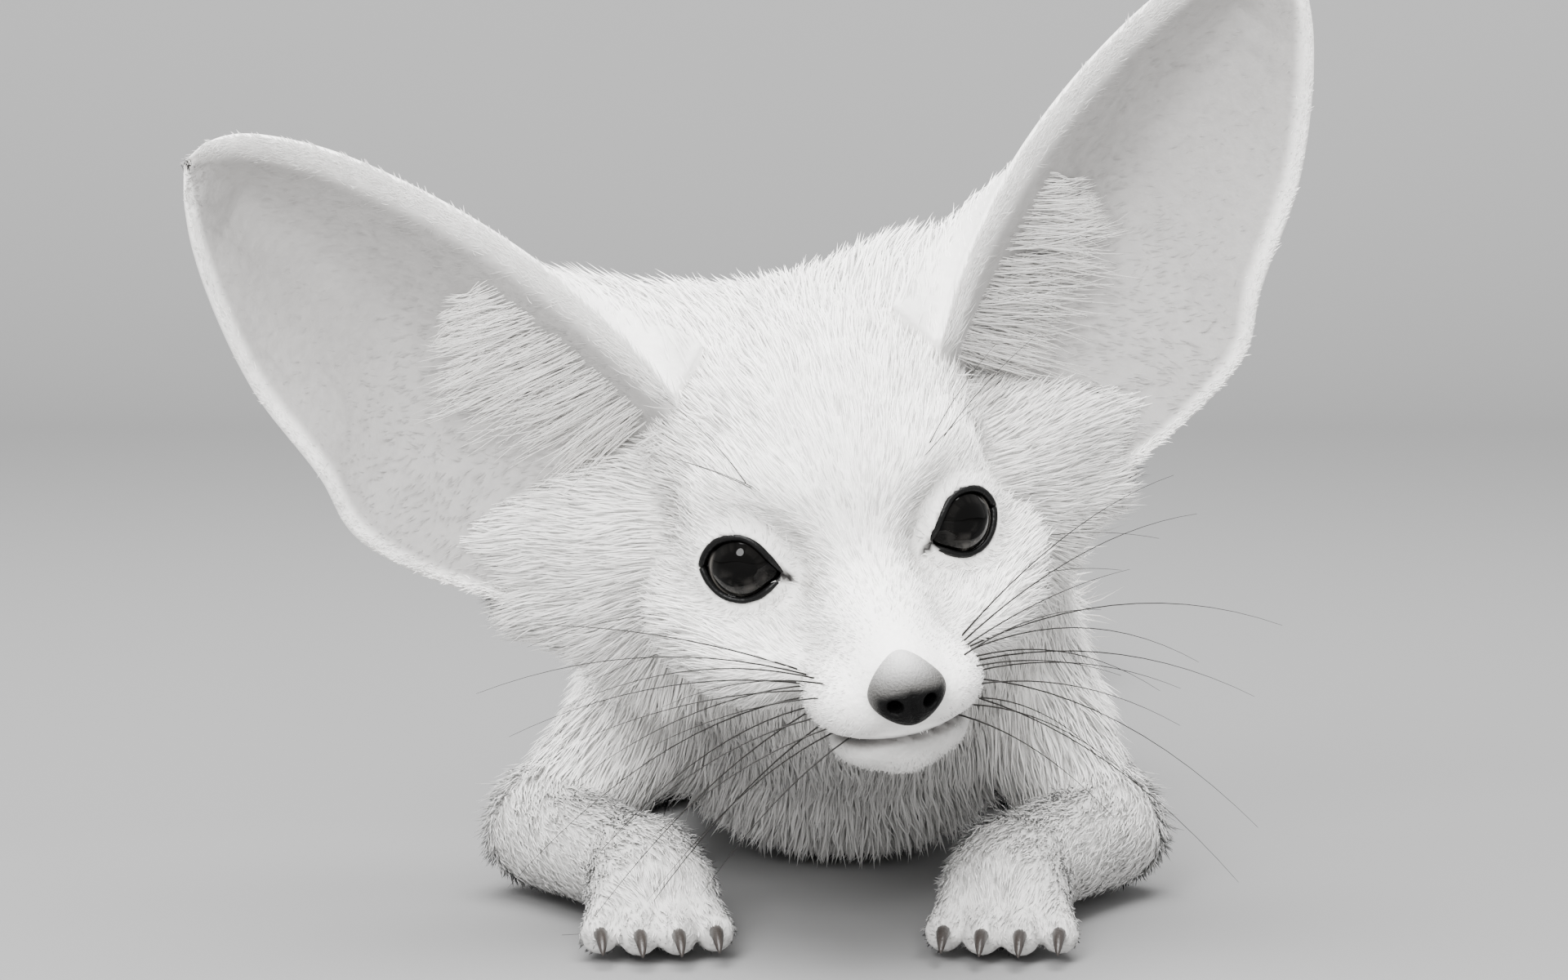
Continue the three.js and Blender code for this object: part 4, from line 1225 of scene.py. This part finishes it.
def add_eye(side_name, side):
    centre, gaze, across, upward = eye_axes(side)
    rings, sides = 64, 72
    tilt = np.radians(np.linspace(0.4, 179.6, rings))
    turn = np.linspace(0, 2 * math.pi, sides, endpoint=False)
    tilt, turn = np.meshgrid(tilt, turn, indexing="ij")
    out = column(np.sin(tilt)) * (column(np.cos(turn)) * across + column(np.sin(turn)) * upward)
    out = out + column(np.cos(tilt)) * gaze
    degrees = np.degrees(tilt)
    bulge = IRIS["bulge"] * smoothstep(degrees, IRIS["ring"], 12)
    points = centre + column(EYE["ball"] - 0.05 + bulge) * out
    faces = ring_faces(rings, sides, (0, 3, 2, 1) if side > 0 else (1, 2, 3, 0), side < 0)
    fibres = noise(np.stack([np.cos(turn) * 9, np.sin(turn) * 9, degrees / 14], -1), 1, 41)
    cloud = noise(out * 5, 1, 43) + 0.6 * noise(out * 11, 1, 47)
    iris = smoothstep(degrees, IRIS["edge"], IRIS["edge"] - 4)
    low = smoothstep(-(out @ upward), -0.15, 0.45)
    iris_tone_and_painted_reflection = iris * (0.001 + 0.05 * low * smoothstep(cloud, -0.3, 0.9)) + 0.0005
    iris_tone_and_painted_reflection += iris * smoothstep(degrees, IRIS["pupil"], IRIS["pupil"] + 5) * 0.003 * (1 + fibres)
    # Painted reflection: a pale crescent on the outer edge of the iris.
    outer = smoothstep(np.cos(turn) - 0.35 * np.sin(turn), 0.55, 0.95)
    iris_tone_and_painted_reflection += 0.16 * bell(degrees, IRIS["edge"], 2.2) * outer
    tones = (column(0.6 * iris_tone_and_painted_reflection) * at(1.0, 0.93, 0.86)).reshape(-1, 3)
    points = from_head(points.reshape(-1, 3))
    eye = make_mesh("eye_ball_" + side_name, points, faces, EYE_LOOK, tones=tones)
    show(eye, "eye", "eye_" + side_name)


def tube(path, radii, sides, closed=False):
    """Points and faces of a round tube along a path, with a radius at each of its points."""
    if closed:
        way = unit(np.roll(path, -1, 0) - np.roll(path, 1, 0))
    else:
        way = unit(np.gradient(path, axis=0))
    aside = unit(np.cross(way, at(0.13, 0.21, 0.97)))
    up = np.cross(aside, way)
    turn = np.linspace(0, 2 * math.pi, sides, endpoint=False)
    rim = column(np.cos(turn)) * aside[:, None] + column(np.sin(turn)) * up[:, None]
    points = path[:, None] + radii[:, None, None] * rim
    return points.reshape(-1, 3), ring_faces(len(path), sides, (3, 2, 1, 0), closed=closed)

def add_lids(side_name, side):
    """The dark margin round the eye, pointed at its inner corner, and the wet line on the lower lid."""
    outline = almond(96)
    inner = bell(outline[:, 0], -EYE["wide"] / 2, 1.6)
    outline = outline + column(inner) * at(-0.3, -0.2)
    margin = tube(on_eye(side, outline, EYE["ball"] + 0.35), lerp(0.6, 0.45, inner), 10, closed=True)
    # The wet line is painted pale grey for its sheen.
    wet_line = on_eye(side, outline[54:84] * 0.93, EYE["ball"] + 0.12)
    tear = tube(wet_line, 0.22 * np.sin(np.linspace(0.15, 3, 30)), 8)
    for name, (points, faces), look in (("lid_margin_", margin, LID_LOOK), ("tear_line_", tear, WET_SHEEN_LOOK)):
        show(make_mesh(name + side_name, from_head(points), faces, look), "eye")

def add_nose():
    middle = NOSE["middle"]
    axes = [np.arange(middle[k] - 9, middle[k] + 10, 0.4) for k in range(3)]
    p = np.stack(np.meshgrid(*axes, indexing="ij"), -1)
    points, faces = surface_of(nose_with_nostrils(p), axes)
    points = settle(nose_with_nostrils, points)
    level = points[:, 2] - middle[2]
    # Painted light: the pad's top and sides are lighter where light glances over them, the top grading up
    # into the fur; the lower front and the nostrils are black.
    top = lerp(at(0.075, 0.073, 0.07), at(0.8, 0.79, 0.78), column(smoothstep(level, 1.4, 9.6)))
    aside = np.abs(points[:, 0])
    dark = smoothstep(level + 0.14 * aside, 2.5, 0.7) * smoothstep(aside, 6.1, 4.8)
    tones = lerp(top, at(0.002, 0.002, 0.002), column(dark))
    nose = make_mesh("nose_pad", from_head(points), faces, NOSE_LOOK, tones=tones)
    show(nose, "nose", "nose")


# Whiskers: dark, thin, tapered and drooping; the pads', the brows' and the cheeks'

WHISKERS = {"rows": 4, "columns": 4, "pad": (10.5, -15, -18.5), "length": 58, "root": 0.17}
BROW_HAIRS = [(12, 2, 11, 26), (14, 3, 11.5, 30), (10, 1, 10, 20)]
CHEEK_HAIRS = [(29, 14, -9, 24), (28, 13, -14, 18)]


def whisker(start, way, length, droop, root):
    """A drooping hair from a head-frame place on the skin, sunk a little in it."""
    t = column(np.linspace(0, 1, 14))
    start = settle(head_skin, from_head([start]))[0]
    way = unit(way) @ HEAD_TURN.T
    path = start - 1.0 * way + t * length * way + t * t * droop
    path[:, 2] = np.maximum(path[:, 2], 2 + 2 * t[:, 0])
    return tube(path, lerp(root, 0.03, t[:, 0] ** 0.8), 5)


def add_whiskers(side_name, side):
    hairs = []
    for row in range(WHISKERS["rows"]):
        for k in range(WHISKERS["columns"]):
            x, y, z = WHISKERS["pad"]
            height = 1 - 2 * row / (WHISKERS["rows"] - 1)
            back = k / (WHISKERS["columns"] - 1)
            place = at(side * (x + 3 * back - 0.8 * row), y - 6 + 12 * back, z + 3.4 * height)
            way = at(side, 0.1 + 0.25 * back, 0.42 * height + 0.05) + 0.1 * rng.normal(0, 1, 3)
            length = WHISKERS["length"] * (0.55 + 0.5 * back) * rng.uniform(0.75, 1.15)
            droop = at(0, 5, -length * rng.uniform(0.2, 0.4) * (1.25 - 0.3 * height))
            hairs.append(whisker(place, way, length, droop, WHISKERS["root"]))
    for x, y, z, length in BROW_HAIRS:
        way = at(side * 0.55, -0.25, 0.9) + 0.1 * rng.normal(0, 1, 3)
        hairs.append(whisker(at(side * x, y, z), way, length, at(side * 3, 4, -length * 0.12), 0.11))
    for x, y, z, length in CHEEK_HAIRS:
        way = at(side, -0.1, 0.1) + 0.08 * rng.normal(0, 1, 3)
        hairs.append(whisker(at(side * x, y, z), way, length, at(0, 3, -length * 0.2), 0.1))
    add_many("whiskers_" + side_name, hairs, WHISKER_LOOK, "dark_fur")


def add_many(name, shapes, material, slot, *nodes):
    """One piece from several shapes' points and faces."""
    faces, start = [], 0
    for points, some_faces in shapes:
        faces += [face + start for face in some_faces]
        start += len(points)
    points = np.concatenate([points for points, _ in shapes])
    show(make_mesh(name, points, faces, material), slot, *nodes)

# Claws: curved, tapered and dark

CLAW = {"length": 5.5, "droop": 3.6, "wide": 1.2}


def add_claws(name, toes, turn):
    shapes = []
    forward = turn_about("z", turn) @ unit(at(0, -1, 0.2))
    for toe, radius in toes:
        t = column(np.linspace(0, 1, 10))
        start = toe + forward * (radius - 2.2)
        path = start + forward * (CLAW["length"] + 2.2) * t + at(0, 0, -CLAW["droop"]) * t ** 2.2
        path[:, 2] = np.maximum(path[:, 2], 0.6)
        shapes.append(tube(path, CLAW["wide"] * np.sqrt(np.maximum(0.01, 1 - t[:, 0] ** 1.6)), 10))
    nodes = [f"{name}_claw_{i + 1}" for i in range(len(toes))]
    add_many(name + "_claws", shapes, CLAW_LOOK, "claw", *nodes)


for side_name, side in SIDES.items():
    add_eye(side_name, side)
    add_lids(side_name, side)
    add_whiskers(side_name, side)
add_nose()
for name, toes, turn in PAWS:
    add_claws(name, toes, turn)

# Floor, light and camera

CAMERA = {"distance": 596.5, "elevation": 4, "lens": 85, "right": -11.45, "up": 9.34}


def add_stage():
    made = Nodes("pale_floor", Roughness=0.9, Specular_IOR_Level=0.1)
    # Painted light: the floor and backdrop are painted paler further back and higher up, making up for the
    # lamps' falloff.
    place = made.add("SeparateXYZ", {"Vector": made.add("TexCoord").outputs["Object"]})
    away = made.add("Math", {0: place.outputs["Y"], 1: place.outputs["Z"]}, operation="ADD")
    limits = {"From Min": 0.0, "From Max": 2.5, "To Min": 0.19, "To Max": 0.57}
    shade = made.add("MapRange", {"Value": away.outputs["Value"], **limits})
    made.join("Base Color", shade.outputs["Result"])
    radius, reach, depth = 900, 2600, 1500
    profile = [(-2600, 0), (depth, 0)]
    for i in range(1, 13):
        turn = math.pi / 2 * i / 12
        profile.append((depth + radius * math.sin(turn), radius * (1 - math.cos(turn))))
    profile.append((depth + radius, 4000))
    points = [at(x, y, z) for y, z in profile for x in (-reach * 1.6, reach * 1.6)]
    faces = np.array([[2 * i, 2 * i + 1, 2 * i + 3, 2 * i + 2] for i in range(len(profile) - 1)])
    floor = make_mesh("floor", np.array(points), faces, made.material)


def add_light(name, place, target, size, power, glossy=True):
    light = bpy.data.lights.new(name, "AREA")
    light.shape = "DISK"
    light.size = size * MM
    light.energy = power
    made = bpy.data.objects.new(name, light)
    made.location = Vector(place) * MM
    made.visible_glossy = glossy
    made.rotation_euler = (Vector(target) - Vector(place)).to_track_quat("-Z", "Y").to_euler()
    bpy.context.scene.collection.objects.link(made)


def add_camera():
    tilt = math.radians(CAMERA["elevation"])
    forward = at(0, math.cos(tilt), -math.sin(tilt))
    up = at(0, math.sin(tilt), math.cos(tilt))
    place = HEAD["place"] - CAMERA["distance"] * forward + at(CAMERA["right"], 0, 0) + CAMERA["up"] * up
    data = bpy.data.cameras.new("camera")
    data.lens = CAMERA["lens"]
    data.sensor_width = 36
    data.clip_start = 0.01
    data.clip_end = 50
    camera = bpy.data.objects.new("camera", data)
    camera.location = Vector(place) * MM
    camera.rotation_euler = (math.pi / 2 - tilt, 0, 0)
    bpy.context.scene.collection.objects.link(camera)
    bpy.context.scene.camera = camera


add_stage()
add_light("sky", (-60, -330, 1050), (0, -110, 60), 1100, 50)
add_light("front", (-330, -1100, 700), (0, -120, 60), 460, 18)
add_light("fill", (60, -1100, 220), (0, -120, 50), 900, 11, glossy=False)
add_camera()
world = bpy.data.worlds.new("world")
world.use_nodes = True
world.node_tree.nodes["Background"].inputs["Color"].default_value = (1, 1, 1, 1)
world.node_tree.nodes["Background"].inputs["Strength"].default_value = 0.95
bpy.context.scene.world = world
